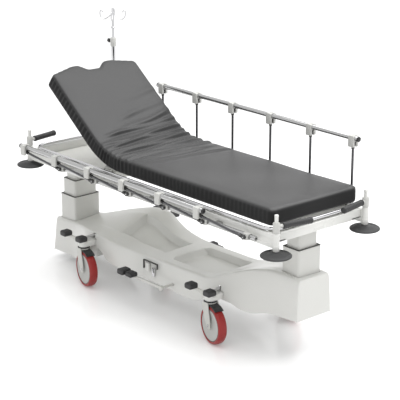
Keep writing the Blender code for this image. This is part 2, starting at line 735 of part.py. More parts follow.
def makeDecks():
    low = deckTop - deckThick
    headEdge = hingeX + lugR + 0.0015
    half = halfWide - deckInset
    footEdge = halfPost - deckFootClear
    corners = [(headEdge, -half, 0), (footEdge, -half, 0), (footEdge, half, 0), (headEdge, half, 0)]
    outline = [(p.x, p.y) for p in roundedPath(corners, deckCorner) if p.x > headEdge + 0.1]
    meshes = [slabMesh(outline + [(headEdge, half), (headEdge, -half)], low, deckTop)]
    bearer = (0.008, halfWide - 0.061)
    for x in (hingeX + 0.045, halfPost - 0.070):
        meshes.append(boxMesh((x - bearer[0], -bearer[1], sideRailTop + gap),
                              (x + bearer[0], bearer[1], low + 0.002)))
    fuse("seat_deck", meshes, whiteCoat)
    panelZ = carrierLow + carrierThick + gap
    panelY = frameOuter - sideRailThick - 0.001
    low, high = (-halfPost + 0.046, -panelY, panelZ), (hingeX + 0.026, panelY, panelZ + 0.004)
    solid("head_panel", boxMesh(low, high), whiteCoat)


def makeBackrest():
    hinge = pivot("backrest_hinge", (hingeX, 0, hingeZ), (0, backAngle, 0))
    half = halfWide - backPanelInset
    far = backPanelShort - backLong
    near = -0.030
    outline = [(far, -half), (near, -half), (near, half), (far, half)]
    meshes = [slabMesh(outline, hingeDrop - deckThick, hingeDrop)]
    far += 0.018
    corners = [(0.0, -backTubeY, 0), (far, -backTubeY, 0), (far, backTubeY, 0), (0.0, backTubeY, 0)]
    meshes.append(tubeMesh(roundedPath(corners, 0.06, False), backTubeR))
    meshes.append(crossRod(backBarX, (-backTubeY, backTubeY), 0, backBarR))
    cuts = []
    for side in sides.values():
        lug = (side * (backTubeY - 0.010), side * (backTubeY + 0.022))
        meshes.append(crossRod(0, lug, 0, lugR, 16))
        bore = (side * (backTubeY - 0.002), side * (backTubeY + 0.05))
        cuts.append(crossRod(0, bore, 0, boreFor(lugPinR, 12)))
    fuse("backrest_frame", meshes, whiteCoat, hinge, cuts)
    return hinge


def softened(bm, keep):
    # rounds the top and bottom edges whose two ends both pass the test
    level = [e for e in bm.edges if abs(e.verts[0].co.z - e.verts[1].co.z) < 1e-6]
    chosen = [e for e in level if keep(e)]
    bmesh.ops.bevel(bm, geom=chosen, offset=mattressSoft, segments=2, profile=0.5, affect="EDGES")
    return bm


def makeMattress(hinge):
    half = mattressHalf
    rise = mattressLow - hingeZ
    top = rise + mattressThick
    lean = math.tan(hingeWedge)
    past = 0.1
    low, high = rise - 2 * past, top + past
    headX = hingeX + hingeSpace
    footX = halfPost - footClear
    corners = [(headX, -half, 0), (footX, -half, 0), (footX, half, 0), (headX, half, 0)]
    outline = [(p.x, p.y) for p in roundedPath(corners, mattressCorner, True, 4) if p.x > headX + past]
    bm = slabMesh(outline + [(headX, half), (headX, -half)], mattressLow, mattressTop)
    softened(bm, lambda e: max(v.co.x for v in e.verts) > headX + past)
    # the wedge taken off each piece: a slab across the hinge, drawn in the x, z plane
    wedge = slabMesh([(-0.3, low), (low * lean + hingeSpace, low),
                      (high * lean + hingeSpace, high), (-0.3, high)], -0.4, 0.4)
    wedge.transform(Matrix.Translation((hingeX, 0, hingeZ)) @ Matrix.Rotation(math.pi / 2, 4, "X"))
    fuse("mattress_seat", [bm], mattressCoat, cuts=[wedge])
    notch = headNotch / 2
    tip = -backLong - headTip
    halfEdge = [(-backLong, half), (tip, half * headSlant), (tip, notch + 0.02), (-backLong, notch * 0.6)]
    outline = [(-hingeSpace, -half), (-hingeSpace, half)] + halfEdge + [(x, -y) for x, y in reversed(halfEdge)]
    bm = slabMesh(outline, rise, top)
    softened(bm, lambda e: min(v.co.x for v in e.verts) < -past)
    wedge = slabMesh([(0.3, low), (0.3, high), (-high * lean - hingeSpace, high),
                      (-low * lean - hingeSpace, low)], -0.4, 0.4)
    wedge.transform(Matrix.Rotation(math.pi / 2, 4, "X"))
    fuse("mattress_back", [bm], mattressCoat, hinge, cuts=[wedge])


def makeBumper(end, sideName):
    spin = pivot(f"{end}_{sideName}_bumper_spindle", (ends[end] * halfPost, sides[sideName] * halfWide, discZ))
    bore = spindleR + slip
    peak = discThick + discCone
    outline = [(bore, peak), (discHubR, peak), (discR - 0.010, discThick),
               (discR, discThick - 0.005), (discR - 0.004, 0), (bore, 0)]
    solid(f"{end}_{sideName}_bumper_disc", turnedMesh(outline, 22), gripRubber, spin, 30)


def makeHandle(end, sideName):
    side = sides[sideName]
    along = Vector((ends[end] * math.sin(gripTurn), -side * math.cos(gripTurn), 0))
    swing = pivot(f"{end}_{sideName}_handle_swing", (ends[end] * halfPost, side * halfWide, neckLow + 0.001))
    bore = neckR + slip
    sleeve = turnedMesh([(bore, sleeveHigh), (sleeveR, sleeveHigh), (sleeveR, 0), (bore, 0)], 16)
    level = Vector((0, 0, sleeveHigh * 0.60))
    root = along * (sleeveR - lap) + level
    start = along * gripStart + level
    neck = rodMesh(root, start + along * 0.01, gripNeckR, 10)
    grip = rodMesh(start, start + along * gripLong, gripR, 14)
    fuse(f"{end}_{sideName}_push_handle", [sleeve, neck, grip], gripRubber, swing)


# ---- side rails ----
postHalf = railPostR + 0.0005   # half length of a rail post's hubs


def makeLowerBar(sideName):
    side = sides[sideName]
    y = side * lowerBarY
    start = railX[0] - lowerBarHead
    end = railX[-1] + lowerBarFoot
    face = railY - postHalf
    meshes = [rodMesh((start, y, railPivotZ), (end, y, railPivotZ), lowerBarR, 10)]
    for x in railX:
        meshes.append(sideBox(side, (x - blockLong / 2, lowerBarY + lap, railPivotZ - blockHalf),
                              (x + blockLong / 2, face - blockSpace, railPivotZ + blockHalf)))
        pin = (side * (face - 0.006), side * (railY + postHalf))
        meshes.append(crossRod(x, pin, railPivotZ, pinR, 6))
    for x in bracketX:
        meshes.append(sideBox(side, (x - bracketHalf, frameOuter + gap, railPivotZ - bracketHalf / 2),
                              (x + bracketHalf, lowerBarY - 0.003, railPivotZ + bracketHalf / 2)))
    bore = rodMesh((start - 0.01, y, railPivotZ), (start + knobStem + 0.012, y, railPivotZ), pinR + slip)
    fuse(f"{sideName}_rail_lower_bar", meshes, aluminium, cuts=[bore])
    pull = pivot(f"{sideName}_release_slide", (start, y, railPivotZ))
    knob = rodMesh((-knobLong, 0, 0), (-gap, 0, 0), knobR, 16)
    stem = rodMesh((-lap, 0, 0), (knobStem, 0, 0), pinR)
    fuse(f"{sideName}_rail_release_knob", [knob, stem], redKnob, pull)


def makeRail(sideName):
    side = sides[sideName]
    fold = -railFold if sideName == "near" else 0.0
    y = side * railY
    for number, x in enumerate(railX, 1):
        hinge = pivot(f"{sideName}_rail_post_hinge_{number}", (x, y, railPivotZ), (0, fold, 0))
        meshes = [rodMesh((0, 0, lap), (0, 0, railPostLong - lap), railPostR, 6)]
        cuts = []
        for z in (0, railPostLong):
            meshes.append(crossRod(0, (-postHalf, postHalf), z, hubR, 8))
            cuts.append(crossRod(0, (-0.02, 0.02), z, boreFor(pinR, 6), 6))
        fuse(f"{sideName}_rail_post_{number}", meshes, steel, hinge, cuts)
    shift = Vector((math.sin(fold), 0, math.cos(fold))) * railPostLong
    hinge = pivot(f"{sideName}_rail_top_hinge", (railX[0] + shift.x, y, railPivotZ + shift.z))
    span = railX[-1] - railX[0]
    tube = rodMesh((-railOverHead, 0, railTubeRise), (span + railOverFoot, 0, railTubeRise), railTubeR)
    meshes = [tube]
    for x in railX - railX[0]:
        meshes.append(sideBox(side, (x - blockLong / 2, postHalf + blockSpace, -0.017),
                              (x + blockLong / 2, 0.021, railTubeRise + 0.015)))
        meshes.append(crossRod(x, (side * (postHalf + 0.006), -side * postHalf), 0, pinR, 6))
    fuse(f"{sideName}_rail_top", meshes, aluminium, hinge)


# ---- drip pole ----
def makePole():
    x = -halfPost
    y = halfWide
    low = neckLow + sleeveHigh + 0.002
    collar = poleLowTop + collarHigh
    bore = neckR + slip
    narrow = poleRodR + slip
    outline = [(narrow, collar), (collarR - 0.002, collar), (collarR, collar - 0.003), (collarR, poleLowTop),
               (poleOuterR, poleLowTop - lap), (poleOuterR, low), (bore, low), (bore, poleLowTop),
               (narrow, poleLowTop + lap)]
    sleeve = turnedMesh(outline, 16)
    bmesh.ops.translate(sleeve, verts=sleeve.verts, vec=(x, y, 0))
    z = poleLowTop + collarHigh / 2
    screw = rodMesh((x - 0.014, y, z), (x - 0.030, y, z), 0.005)
    knob = rodMesh((x - 0.028, y, z), (x - 0.046, y, z), 0.012)
    fuse("drip_pole_socket_tube", [sleeve, screw, knob], steel)
    slide = pivot("drip_pole_slide", (x, y, 0))
    edge = ringR - 0.003
    ring = [(0, ringZ + 0.006), (edge, ringZ + 0.006), (ringR, ringZ),
            (edge, ringZ - 0.006), (0, ringZ - 0.006)]
    meshes = [rodMesh((0, 0, poleRodLow), (0, 0, poleRodTop), poleRodR, 14), turnedMesh(ring, 16)]
    sweep = [(0.0, 0.0), (0.40, -0.018), (0.78, -0.023), (1.0, 0.0), (0.93, 0.024)]
    for turn in np.radians((45, 135, 225, 315)):
        path = []
        for share, rise in sweep:
            reach = hookReach * share
            path.append((reach * math.cos(turn), reach * math.sin(turn), hookZ + rise))
        meshes.append(tubeMesh(path, hookR, False, 1))
    fuse("drip_pole_rod", meshes, steel, slide)


makeChassis()
makeCover()
for endName in ends:
    makeColumn(endName)
    makeBrakes(endName)
    for sideName in sides:
        makeCastor(endName, sideName)
        makeBumper(endName, sideName)
        makeHandle(endName, sideName)
for sideName in sides:
    makePumpPedal(sideName)
    makeLowerBar(sideName)
    makeRail(sideName)
makeLitter()
makeDecks()
makeMattress(makeBackrest())
makePole()
bpy.context.view_layer.update()
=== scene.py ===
import json
import math

import bmesh
import bpy
import numpy as np
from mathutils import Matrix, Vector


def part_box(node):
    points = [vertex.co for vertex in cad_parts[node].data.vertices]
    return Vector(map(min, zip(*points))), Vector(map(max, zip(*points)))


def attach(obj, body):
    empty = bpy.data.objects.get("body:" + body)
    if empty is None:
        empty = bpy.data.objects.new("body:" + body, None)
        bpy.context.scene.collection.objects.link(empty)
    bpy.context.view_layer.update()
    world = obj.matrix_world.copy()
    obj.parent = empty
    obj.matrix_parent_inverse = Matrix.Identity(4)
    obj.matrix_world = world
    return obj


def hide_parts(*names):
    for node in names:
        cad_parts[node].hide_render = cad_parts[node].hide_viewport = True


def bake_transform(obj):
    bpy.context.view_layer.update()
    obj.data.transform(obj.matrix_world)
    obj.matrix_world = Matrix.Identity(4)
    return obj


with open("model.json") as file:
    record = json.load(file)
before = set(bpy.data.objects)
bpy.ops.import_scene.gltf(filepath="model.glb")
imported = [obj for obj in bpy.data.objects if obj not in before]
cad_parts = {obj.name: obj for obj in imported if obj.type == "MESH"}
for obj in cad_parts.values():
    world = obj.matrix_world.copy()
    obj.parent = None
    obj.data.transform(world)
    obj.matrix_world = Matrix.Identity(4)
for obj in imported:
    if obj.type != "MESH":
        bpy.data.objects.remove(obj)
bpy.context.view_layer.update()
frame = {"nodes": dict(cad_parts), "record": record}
joints = {joint["name"]: joint for joint in frame["record"]["behaviour"]["joints"]}
ends = {"foot": 1, "head": -1}
sides = {"near": -1, "far": 1}


def lowOf(node, axis):
    # the lower end of the node's box along x, y or z
    return float(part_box(node)[0]["xyz".index(axis)])


def highOf(node, axis):
    # the upper end of the node's box
    return float(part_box(node)[1]["xyz".index(axis)])


def midOf(node, axis):
    # halfway between the two ends
    return (lowOf(node, axis) + highOf(node, axis)) / 2


def placeOf(jointName):
    # the point that the joint's axis goes through
    return np.array(joints[jointName]["pos_m"], float)


# ---- places taken from the frame ----
postX, postY = placeOf("foot_far_bumper_spin")[:2]
hinge = placeOf("backrest_hinge")
backAngle = math.radians(-joints["backrest_hinge"]["range_deg"][0])
railFold = math.radians(joints["near_rail_fold"]["range_deg"][1])
deckTop = highOf("seat_deck", "z")
mattressLow = lowOf("mattress_seat", "z")
mattressTop = highOf("mattress_seat", "z")
mattressHalf = highOf("mattress_seat", "y")
castorX = {end: placeOf(f"{end}_near_castor_swivel")[0] for end in ends}
castorY = placeOf("foot_far_castor_swivel")[1]
shaftZ = placeOf("foot_brake_rock")[2]
columnX = {end: midOf(f"{end}_column_top_stage", "x") for end in ends}
carrierLow = highOf("foot_column_top_stage", "z")
laterPosts = [placeOf(f"far_rail_post_{number}_fold")[0] for number in range(2, 7)]
railX, railY, railZ = placeOf("far_rail_fold")
railX = np.array([railX] + laterPosts)
railPost = placeOf("far_top_rail_level")[2] - railZ
print("places read from the frame")


# ---- shapes: each is a pair of point array and face list ----
def gridShape(points, closeRows=False, closeColumns=True, caps=True):
    # quads between neighbouring rows and columns of a grid of points; open row ends get a flat cap
    rows, columns = points.shape[:2]
    row = np.arange(rows if closeRows else rows - 1)[:, None]
    column = np.arange(columns if closeColumns else columns - 1)[None, :]
    nextRow = (row + 1) % rows
    nextColumn = (column + 1) % columns
    quads = np.stack((row * columns + column, row * columns + nextColumn,
                      nextRow * columns + nextColumn, nextRow * columns + column), -1).reshape(-1, 4)
    faces = [tuple(quad) for quad in quads.tolist()]
    if caps and closeColumns and not closeRows:
        faces.append(tuple(range(columns - 1, -1, -1)))
        faces.append(tuple(range((rows - 1) * columns, rows * columns)))
    return points.reshape(-1, 3), faces


def moved(shape, shift):
    # every point plus the shift
    return shape[0] + np.asarray(shift, float), shape[1]


def mirrored(shape, side):
    # as drawn for the far side, or with y turned over for the near one
    return shape[0] * np.array((1, side, 1)), shape[1]


def allMirrored(shapes, side):
    # the same for a list of shapes
    return [mirrored(shape, side) for shape in shapes]


def turnedBy(shape, angle, axis="z", centre=(0, 0, 0)):
    # rotation by the right-hand rule about a line through centre along one axis
    first, second = {"x": (1, 2), "y": (2, 0), "z": (0, 1)}[axis]
    points = shape[0] - np.asarray(centre, float)
    turned = points.copy()
    turned[:, first] = points[:, first] * math.cos(angle) - points[:, second] * math.sin(angle)
    turned[:, second] = points[:, first] * math.sin(angle) + points[:, second] * math.cos(angle)
    return turned + np.asarray(centre, float), shape[1]


def alongAxis(points, axis):
    # a shape made along z, laid along x or y by a cyclic change of coordinates
    return np.roll(points, {"z": 0, "x": 1, "y": 2}[axis], axis=-1)


def circle(radius, count=24):
    # even steps round a full turn
    turns = np.linspace(0, 2 * math.pi, count, endpoint=False)
    return radius * np.stack((np.cos(turns), np.sin(turns)), 1)


def roundedRing(halfA, halfB, corner, steps=5):
    # a rectangle whose corners are quarter circles
    ring = []
    for quarter, (signA, signB) in enumerate(((1, 1), (-1, 1), (-1, -1), (1, -1))):
        arc = np.linspace(0, math.pi / 2, steps + 1) + quarter * math.pi / 2
        ring.append(np.stack((signA * (halfA - corner) + corner * np.cos(arc),
                              signB * (halfB - corner) + corner * np.sin(arc)), 1))
    return np.concatenate(ring)


def roundedBlock(low, high, edge=0.003, corner=0.005, axis="z", steps=3):
    # rounded rectangles stacked along an axis, drawn in by a quarter circle at both ends
    low, high = np.asarray(low, float), np.asarray(high, float)
    half = np.roll((high - low) / 2, {"z": 0, "x": -1, "y": -2}[axis])
    arc = np.linspace(0, math.pi / 2, steps + 1)
    top = half[2] - edge * (1 - np.sin(arc))
    drawn = edge * (1 - np.cos(arc))
    rings = []
    for height, inset in zip(np.concatenate((-top[::-1], top)), np.concatenate((drawn[::-1], drawn))):
        ring = roundedRing(half[0] - inset, half[1] - inset, max(corner - inset, 0.0004), steps)
        rings.append(np.column_stack((ring, np.full(len(ring), height))))
    return moved(gridShape(alongAxis(np.array(rings), axis)), (low + high) / 2)


def turned(profile, count=40, axis="z", closed=False):
    # radius and height pairs turned about an axis; an end on the axis becomes a pole
    profile = np.asarray(profile, float)
    ring = circle(1.0, count)
    heights = np.broadcast_to(profile[:, None, 1:], (len(profile), count, 1))
    points = np.concatenate((profile[:, None, :1] * ring[None], heights), -1)
    return gridShape(alongAxis(points, axis), closeRows=closed, caps=profile[0, 0] > 0)


def prism(outline, low, high, axis="z"):
    # a flat outline raised between two heights along an axis
    outline = np.asarray(outline, float)
    rings = [np.column_stack((outline, np.full(len(outline), height))) for height in (low, high)]
    return gridShape(alongAxis(np.array(rings), axis))


def alongLeg(outline, low, high):
    # an outline in the x, z plane given a thickness along y
    rings = [np.column_stack((outline[:, 0], np.full(len(outline), y), outline[:, 1])) for y in (low, high)]
    return gridShape(np.array(rings))


def softened(points, reach, steps=4, closed=False):
    # every corner becomes a quadratic curve between points at most reach away on its two sides
    points = np.asarray(points, float)
    reach = np.asarray(reach, float)[..., None] * np.ones((points.shape[-2], 1))

    def toward(other):
        step = other - points
        length = np.maximum(np.linalg.norm(step, axis=-1, keepdims=True), 1e-9)
        return points + step * np.minimum(reach / length, 0.49)

    start = toward(np.roll(points, 1, axis=-2))[..., None, :]
    end = toward(np.roll(points, -1, axis=-2))[..., None, :]
    t = np.linspace(0, 1, steps + 1)[:, None]
    curve = (1 - t) ** 2 * start + 2 * t * (1 - t) * points[..., None, :] + t * t * end
    size = points.shape[:-2] + (-1, points.shape[-1])
    if closed:
        return curve.reshape(size)
    inner = curve[..., 1:-1, :, :].reshape(size)
    return np.concatenate((points[..., :1, :], inner, points[..., -1:, :]), axis=-2)


def carried(path, ring, closed=False, up=(0, 0, 1)):
    # a flat ring carried along a path; its axes turn only as much as the path does
    path = np.asarray(path, float)
    ahead = np.roll(path, -1, axis=0) - path
    behind = path - np.roll(path, 1, axis=0)
    if not closed:
        ahead[-1], behind[0] = behind[-1], ahead[0]
    tangent = ahead / np.linalg.norm(ahead, axis=1, keepdims=True)
    tangent = tangent + behind / np.linalg.norm(behind, axis=1, keepdims=True)
    tangent /= np.linalg.norm(tangent, axis=1, keepdims=True)
    across = np.cross(up, tangent[0])
    axes = []
    for direction in tangent:
        across = across - direction * (across @ direction)
        across = across / np.linalg.norm(across)
        axes.append((across, np.cross(direction, across)))
    axes = np.array(axes)
    ring = np.broadcast_to(ring, (len(path),) + np.shape(ring)[-2:])
    points = path[:, None] + ring[..., :1] * axes[:, None, 0] + ring[..., 1:] * axes[:, None, 1]
    return gridShape(points, closeRows=closed)


def rod(start, end, radius, count=20, edge=0.0012):
    # a round bar with its two end edges drawn in
    start, end = np.asarray(start, float), np.asarray(end, float)
    long = np.linalg.norm(end - start)
    direction = (end - start) / long
    stops = np.array((0, edge * 0.3, edge, long - edge, long - edge * 0.3, long))
    radii = radius - edge * np.array((1, 0.3, 0, 0, 0.3, 1))
    up = (0, 0, 1) if abs(direction[2]) < 0.9 else (1, 0, 0)
    return carried(start + stops[:, None] * direction, radii[:, None, None] * circle(1.0, count), up=up)


def meshOf(name, shapes, material=0):
    # each shape's doubles are merged and its faces pointed outwards before they join one mesh
    whole = bmesh.new()
    for points, faces in shapes:
        draft = bpy.data.meshes.new("draft")
        draft.from_pydata(points.tolist(), [], faces)
        bm = bmesh.new()
        bm.from_mesh(draft)
        bmesh.ops.remove_doubles(bm, verts=bm.verts, dist=1e-6)
        bmesh.ops.recalc_face_normals(bm, faces=bm.faces)
        if bm.calc_volume(signed=True) < 0:
            bmesh.ops.reverse_faces(bm, faces=bm.faces)
        for face in bm.faces:
            face.material_index = material
        bm.to_mesh(draft)
        bm.free()
        whole.from_mesh(draft)
        bpy.data.meshes.remove(draft)
    mesh = bpy.data.meshes.new(name)
    whole.to_mesh(mesh)
    whole.free()
    return mesh


def applied(thing):
    # the object's modifiers are turned into plain mesh
    mesh = bpy.data.meshes.new_from_object(thing.evaluated_get(bpy.context.evaluated_depsgraph_get()))
    thing.modifiers.clear()
    old = thing.data
    thing.data = mesh
    bpy.data.meshes.remove(old)
    return thing


def link(name, data):
    # a new object for a mesh, a light or a camera, in the scene
    thing = bpy.data.objects.new(name, data)
    bpy.context.scene.collection.objects.link(thing)
    return thing


def cutFrom(thing, tools):
    # the tools are taken out of the object and then removed
    cutters = [link(f"cutter_{number}", meshOf("cutter", [tool])) for number, tool in enumerate(tools)]
    for cutter in cutters:
        cut = thing.modifiers.new("cut", "BOOLEAN")
        cut.operation = "DIFFERENCE"
        cut.solver = "MANIFOLD"
        cut.object = cutter
    bpy.context.view_layer.update()
    applied(thing)
    for cutter in cutters:
        bpy.data.objects.remove(cutter)
    return thing


def makePiece(name, finishes, body, nodes, bevel=0.0, sharp=38, cuts=()):
    # finishes: each material and the shapes that wear it, joined into one object
    whole = bmesh.new()
    for index, shapes in enumerate(finishes.values()):
        mesh = meshOf("shapes", shapes, index)
        whole.from_mesh(mesh)
        bpy.data.meshes.remove(mesh)
    mesh = bpy.data.meshes.new(name)
    whole.to_mesh(mesh)
    whole.free()
    for material in finishes:
        mesh.materials.append(material)
    thing = link(name, mesh)
    if cuts:
        cutFrom(thing, cuts)
    thing.data.shade_smooth()
    thing.data.set_sharp_from_angle(angle=math.radians(sharp))
    if bevel:
        edges = thing.modifiers.new("edges", "BEVEL")
        edges.width = bevel
        edges.segments = 2
        edges.limit_method = "ANGLE"
        edges.angle_limit = math.radians(sharp)
        edges.use_clamp_overlap = True
    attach(thing, body)
    if nodes:
        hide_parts(*nodes)
    return thing


# ---- finishes ----
def addNode(tree, kind, **values):
    # a shader node with its inputs set by name
    node = tree.nodes.new(kind)
    for name, value in values.items():
        node.inputs[name].default_value = value
    return node


def makeFinish(name, colour, rough, metallic=0.0, vary=0.05, spread=0.06, scale=7.0, stretch=(1, 1, 1),
               bump=0.05, bumpScale=900.0, coat=0.0):
    # colour and roughness drift with a broad noise, and a fine noise lifts the surface a little
    material = bpy.data.materials.new(name)
    material.use_nodes = True
    tree = material.node_tree
    shader = tree.nodes["Principled BSDF"]
    shader.inputs["Metallic"].default_value = metallic
    shader.inputs["Coat Weight"].default_value = coat
    shader.inputs["Coat Roughness"].default_value = 0.12
    place = tree.nodes.new("ShaderNodeTexCoord")
    mapping = addNode(tree, "ShaderNodeMapping", Scale=stretch)
    broad = addNode(tree, "ShaderNodeTexNoise", Scale=scale, Detail=5.0, Roughness=0.6)
    fine = addNode(tree, "ShaderNodeTexNoise", Scale=bumpScale, Detail=2.0)
    tint = tree.nodes.new("ShaderNodeMix")
    tint.data_type = "RGBA"
    tint.inputs[6].default_value = (*[min(c * (1 - vary), 1) for c in colour], 1)
    tint.inputs[7].default_value = (*[min(c * (1 + vary), 1) for c in colour], 1)
    worn = tree.nodes.new("ShaderNodeMapRange")
    worn.inputs["From Min"].default_value = 0.3
    worn.inputs["From Max"].default_value = 0.7
    worn.inputs["To Min"].default_value = rough - spread
    worn.inputs["To Max"].default_value = rough + spread
    relief = addNode(tree, "ShaderNodeBump", Strength=bump, Distance=0.001)
    for output, socket in ((place.outputs["Object"], mapping.inputs["Vector"]),
                           (mapping.outputs["Vector"], broad.inputs["Vector"]),
                           (mapping.outputs["Vector"], fine.inputs["Vector"]),
                           (broad.outputs["Fac"], tint.inputs[0]),
                           (tint.outputs[2], shader.inputs["Base Color"]),
                           (broad.outputs["Fac"], worn.inputs["Value"]),
                           (worn.outputs["Result"], shader.inputs["Roughness"]),
                           (fine.outputs["Fac"], relief.inputs["Height"]),
                           (relief.outputs["Normal"], shader.inputs["Normal"])):
        tree.links.new(output, socket)
    return material


whiteCoat = makeFinish("whiteCoat", (0.66, 0.66, 0.635), 0.30, vary=0.03, coat=0.25)
coverSkin = makeFinish("coverSkin", (0.60, 0.60, 0.575), 0.34, vary=0.035, scale=3.5, bump=0.08, coat=0.3)
columnCoat = makeFinish("columnCoat", (0.55, 0.55, 0.525), 0.36, vary=0.03, bump=0.05)
castorCoat = makeFinish("castorCoat", (0.52, 0.52, 0.49), 0.38, vary=0.06, bump=0.06)
hubGrey = makeFinish("hubGrey", (0.44, 0.44, 0.42), 0.42, vary=0.07, scale=20.0)
chrome = makeFinish("chrome", (0.60, 0.60, 0.61), 0.16, 1.0, vary=0.08, scale=12.0, bump=0.02)
railTube = makeFinish("railTube", (0.46, 0.46, 0.46), 0.22, 1.0, stretch=(0.15, 3, 3), bump=0.06)
# painted reflection: the posts' steel gets a dark base colour that stands in for the dark surroundings plated
# posts reflect
postSteel = makeFinish("postSteel", (0.11, 0.11, 0.115), 0.24, 1.0, stretch=(3, 3, 0.2), bump=0.05)
clampGrey = makeFinish("clampGrey", (0.50, 0.50, 0.48), 0.40, vary=0.05)
laminate = makeFinish("laminate", (0.66, 0.66, 0.63), 0.46, vary=0.04, bump=0.08)
blackMoulding = makeFinish("blackMoulding", (0.018, 0.018, 0.019), 0.46, vary=0.2, bump=0.25,
                           bumpScale=1400.0)
gripSkin = makeFinish("gripSkin", (0.028, 0.028, 0.029), 0.60, vary=0.2, bump=0.35, bumpScale=1200.0)
discRubber = makeFinish("discRubber", (0.036, 0.037, 0.038), 0.55, vary=0.2, bump=0.25, bumpScale=800.0)
redTyre = makeFinish("redTyre", (0.27, 0.010, 0.009), 0.36, vary=0.10, bump=0.10, bumpScale=500.0)
redMoulding = makeFinish("redMoulding", (0.45, 0.012, 0.030), 0.30)
darkSteel = makeFinish("darkSteel", (0.10, 0.10, 0.10), 0.36, 1.0, vary=0.12)
darkSeal = makeFinish("darkSeal", (0.05, 0.05, 0.048), 0.6, vary=0.15)
print("finishes made")


def makeFabric():
    # coated fabric: two crossed waves for the weave, broad noise for handling marks, and walls painted darker
    # as shade beside the lit top
    material = bpy.data.materials.new("coatedFabric")
    material.use_nodes = True
    tree = material.node_tree
    shader = tree.nodes["Principled BSDF"]
    shader.inputs["Specular IOR Level"].default_value = 0.45
    shader.inputs["Sheen Weight"].default_value = 0.10
    shader.inputs["Sheen Roughness"].default_value = 0.45
    flat = tree.nodes.new("ShaderNodeAttribute")
    flat.attribute_name = "flatPlace"
    wall = tree.nodes.new("ShaderNodeAttribute")
    wall.attribute_name = "wallShare"
    marks = addNode(tree, "ShaderNodeTexNoise", Scale=5.0, Detail=6.0, Roughness=0.62)
    grain = addNode(tree, "ShaderNodeTexNoise", Scale=650.0, Detail=3.0)
    warp = addNode(tree, "ShaderNodeTexWave", Scale=420.0, Distortion=0.6)
    weft = addNode(tree, "ShaderNodeTexWave", Scale=420.0, Distortion=0.6)
    weft.bands_direction = "Y"
    weave = tree.nodes.new("ShaderNodeMath")
    weave.operation = "MULTIPLY"
    height = tree.nodes.new("ShaderNodeMath")
    height.operation = "ADD"
    relief = addNode(tree, "ShaderNodeBump", Strength=0.10, Distance=0.0008)
    top = tree.nodes.new("ShaderNodeMix")
    top.data_type = "RGBA"
    top.inputs[6].default_value = (0.0115, 0.0115, 0.0118, 1)
    top.inputs[7].default_value = (0.0195, 0.0195, 0.0198, 1)
    # painted shade: where wallShare is high the colour is mixed towards near black, so the walls read as
    # shaded
    shade = tree.nodes.new("ShaderNodeMix")
    shade.data_type = "RGBA"
    shade.inputs[7].default_value = (0.0030, 0.0030, 0.0032, 1)
    rough = tree.nodes.new("ShaderNodeMapRange")
    rough.inputs["To Min"].default_value = 0.40
    rough.inputs["To Max"].default_value = 0.86
    for output, socket in ((flat.outputs["Vector"], marks.inputs["Vector"]),
                           (flat.outputs["Vector"], grain.inputs["Vector"]),
                           (flat.outputs["Vector"], warp.inputs["Vector"]),
                           (flat.outputs["Vector"], weft.inputs["Vector"]),
                           (marks.outputs["Fac"], top.inputs[0]),
                           (top.outputs[2], shade.inputs[6]),
                           (wall.outputs["Fac"], shade.inputs[0]),
                           (shade.outputs[2], shader.inputs["Base Color"]),
                           (wall.outputs["Fac"], rough.inputs["Value"]),
                           (rough.outputs["Result"], shader.inputs["Roughness"]),
                           (warp.outputs["Fac"], weave.inputs[0]),
                           (weft.outputs["Fac"], weave.inputs[1]),
                           (weave.outputs["Value"], height.inputs[0]),
                           (grain.outputs["Fac"], height.inputs[1]),
                           (height.outputs["Value"], relief.inputs["Height"]),
                           (relief.outputs["Normal"], shader.inputs["Normal"])):
        tree.links.new(output, socket)
    return material


coatedFabric = makeFabric()

# ---- mattress ----
mattress = {
    "inset": 0.002,          # the pad starts this much smaller and swells
    "voxel": 0.010,
    "edge": 0.007,
    "swell": 0.0045,         # the most that a point may move
    "fill": 0.8,
    "bend": 0.170,           # half length of the bend
    "backLong": 0.610, "tip": 0.040,
    # the head end from the side to the notch: half width and reach of each corner, then the foot corners'
    "tipOuter": 0.133, "tipInner": 0.090, "notch": 0.042,
    "headReach": (0.020, 0.016, 0.012, 0.014), "footReach": 0.022,
    # folds: place at the near edge, place at the far edge, bow, height, width, start and end across
    "folds": ((0.325, 0.395, 0.010, 0.0024, 0.020, 0.10, 0.95),
              (0.265, 0.310, 0.012, 0.0034, 0.017, 0.02, 0.90),
              (0.208, 0.235, -0.010, 0.0048, 0.016, 0.00, 1.00),
              (0.160, 0.155, 0.014, 0.0060, 0.015, 0.00, 1.00),
              (0.108, 0.090, -0.012, 0.0062, 0.014, 0.00, 1.00),
              (0.056, 0.025, 0.016, 0.0060, 0.015, 0.00, 1.00),
              (0.010, -0.040, -0.010, 0.0052, 0.014, 0.05, 1.00),
              (-0.045, -0.095, 0.018, 0.0050, 0.016, 0.00, 1.00),
              (-0.102, -0.158, -0.008, 0.0042, 0.016, 0.12, 1.00),
              (-0.140, -0.225, 0.020, 0.0034, 0.018, 0.25, 1.00),
              (-0.175, -0.295, 0.000, 0.0026, 0.019, 0.40, 1.00),
              (-0.300, -0.385, 0.000, 0.0018, 0.022, 0.55, 1.00)),
    "depth": 2.6,            # all the folds are made this many times deeper
    "wander": 0.004,         # how far a fold strays from its line
    "hollow": 0.55,          # depth of the hollow beside a ridge, as a share of its height
    "scallop": 0.0028, "scallopLong": 0.030,
    "pleat": 0.0030, "pleatLong": 0.034, "pleatReach": 0.20,
    "swellWave": 0.0016,
    "seam": 0.0012, "seamAt": 0.83, "seamWide": 0.05,
}


def smoothStep(value):
    # three squares less two cubes, from 0 to 1
    value = np.clip(value, 0, 1)
    return value * value * (3 - 2 * value)


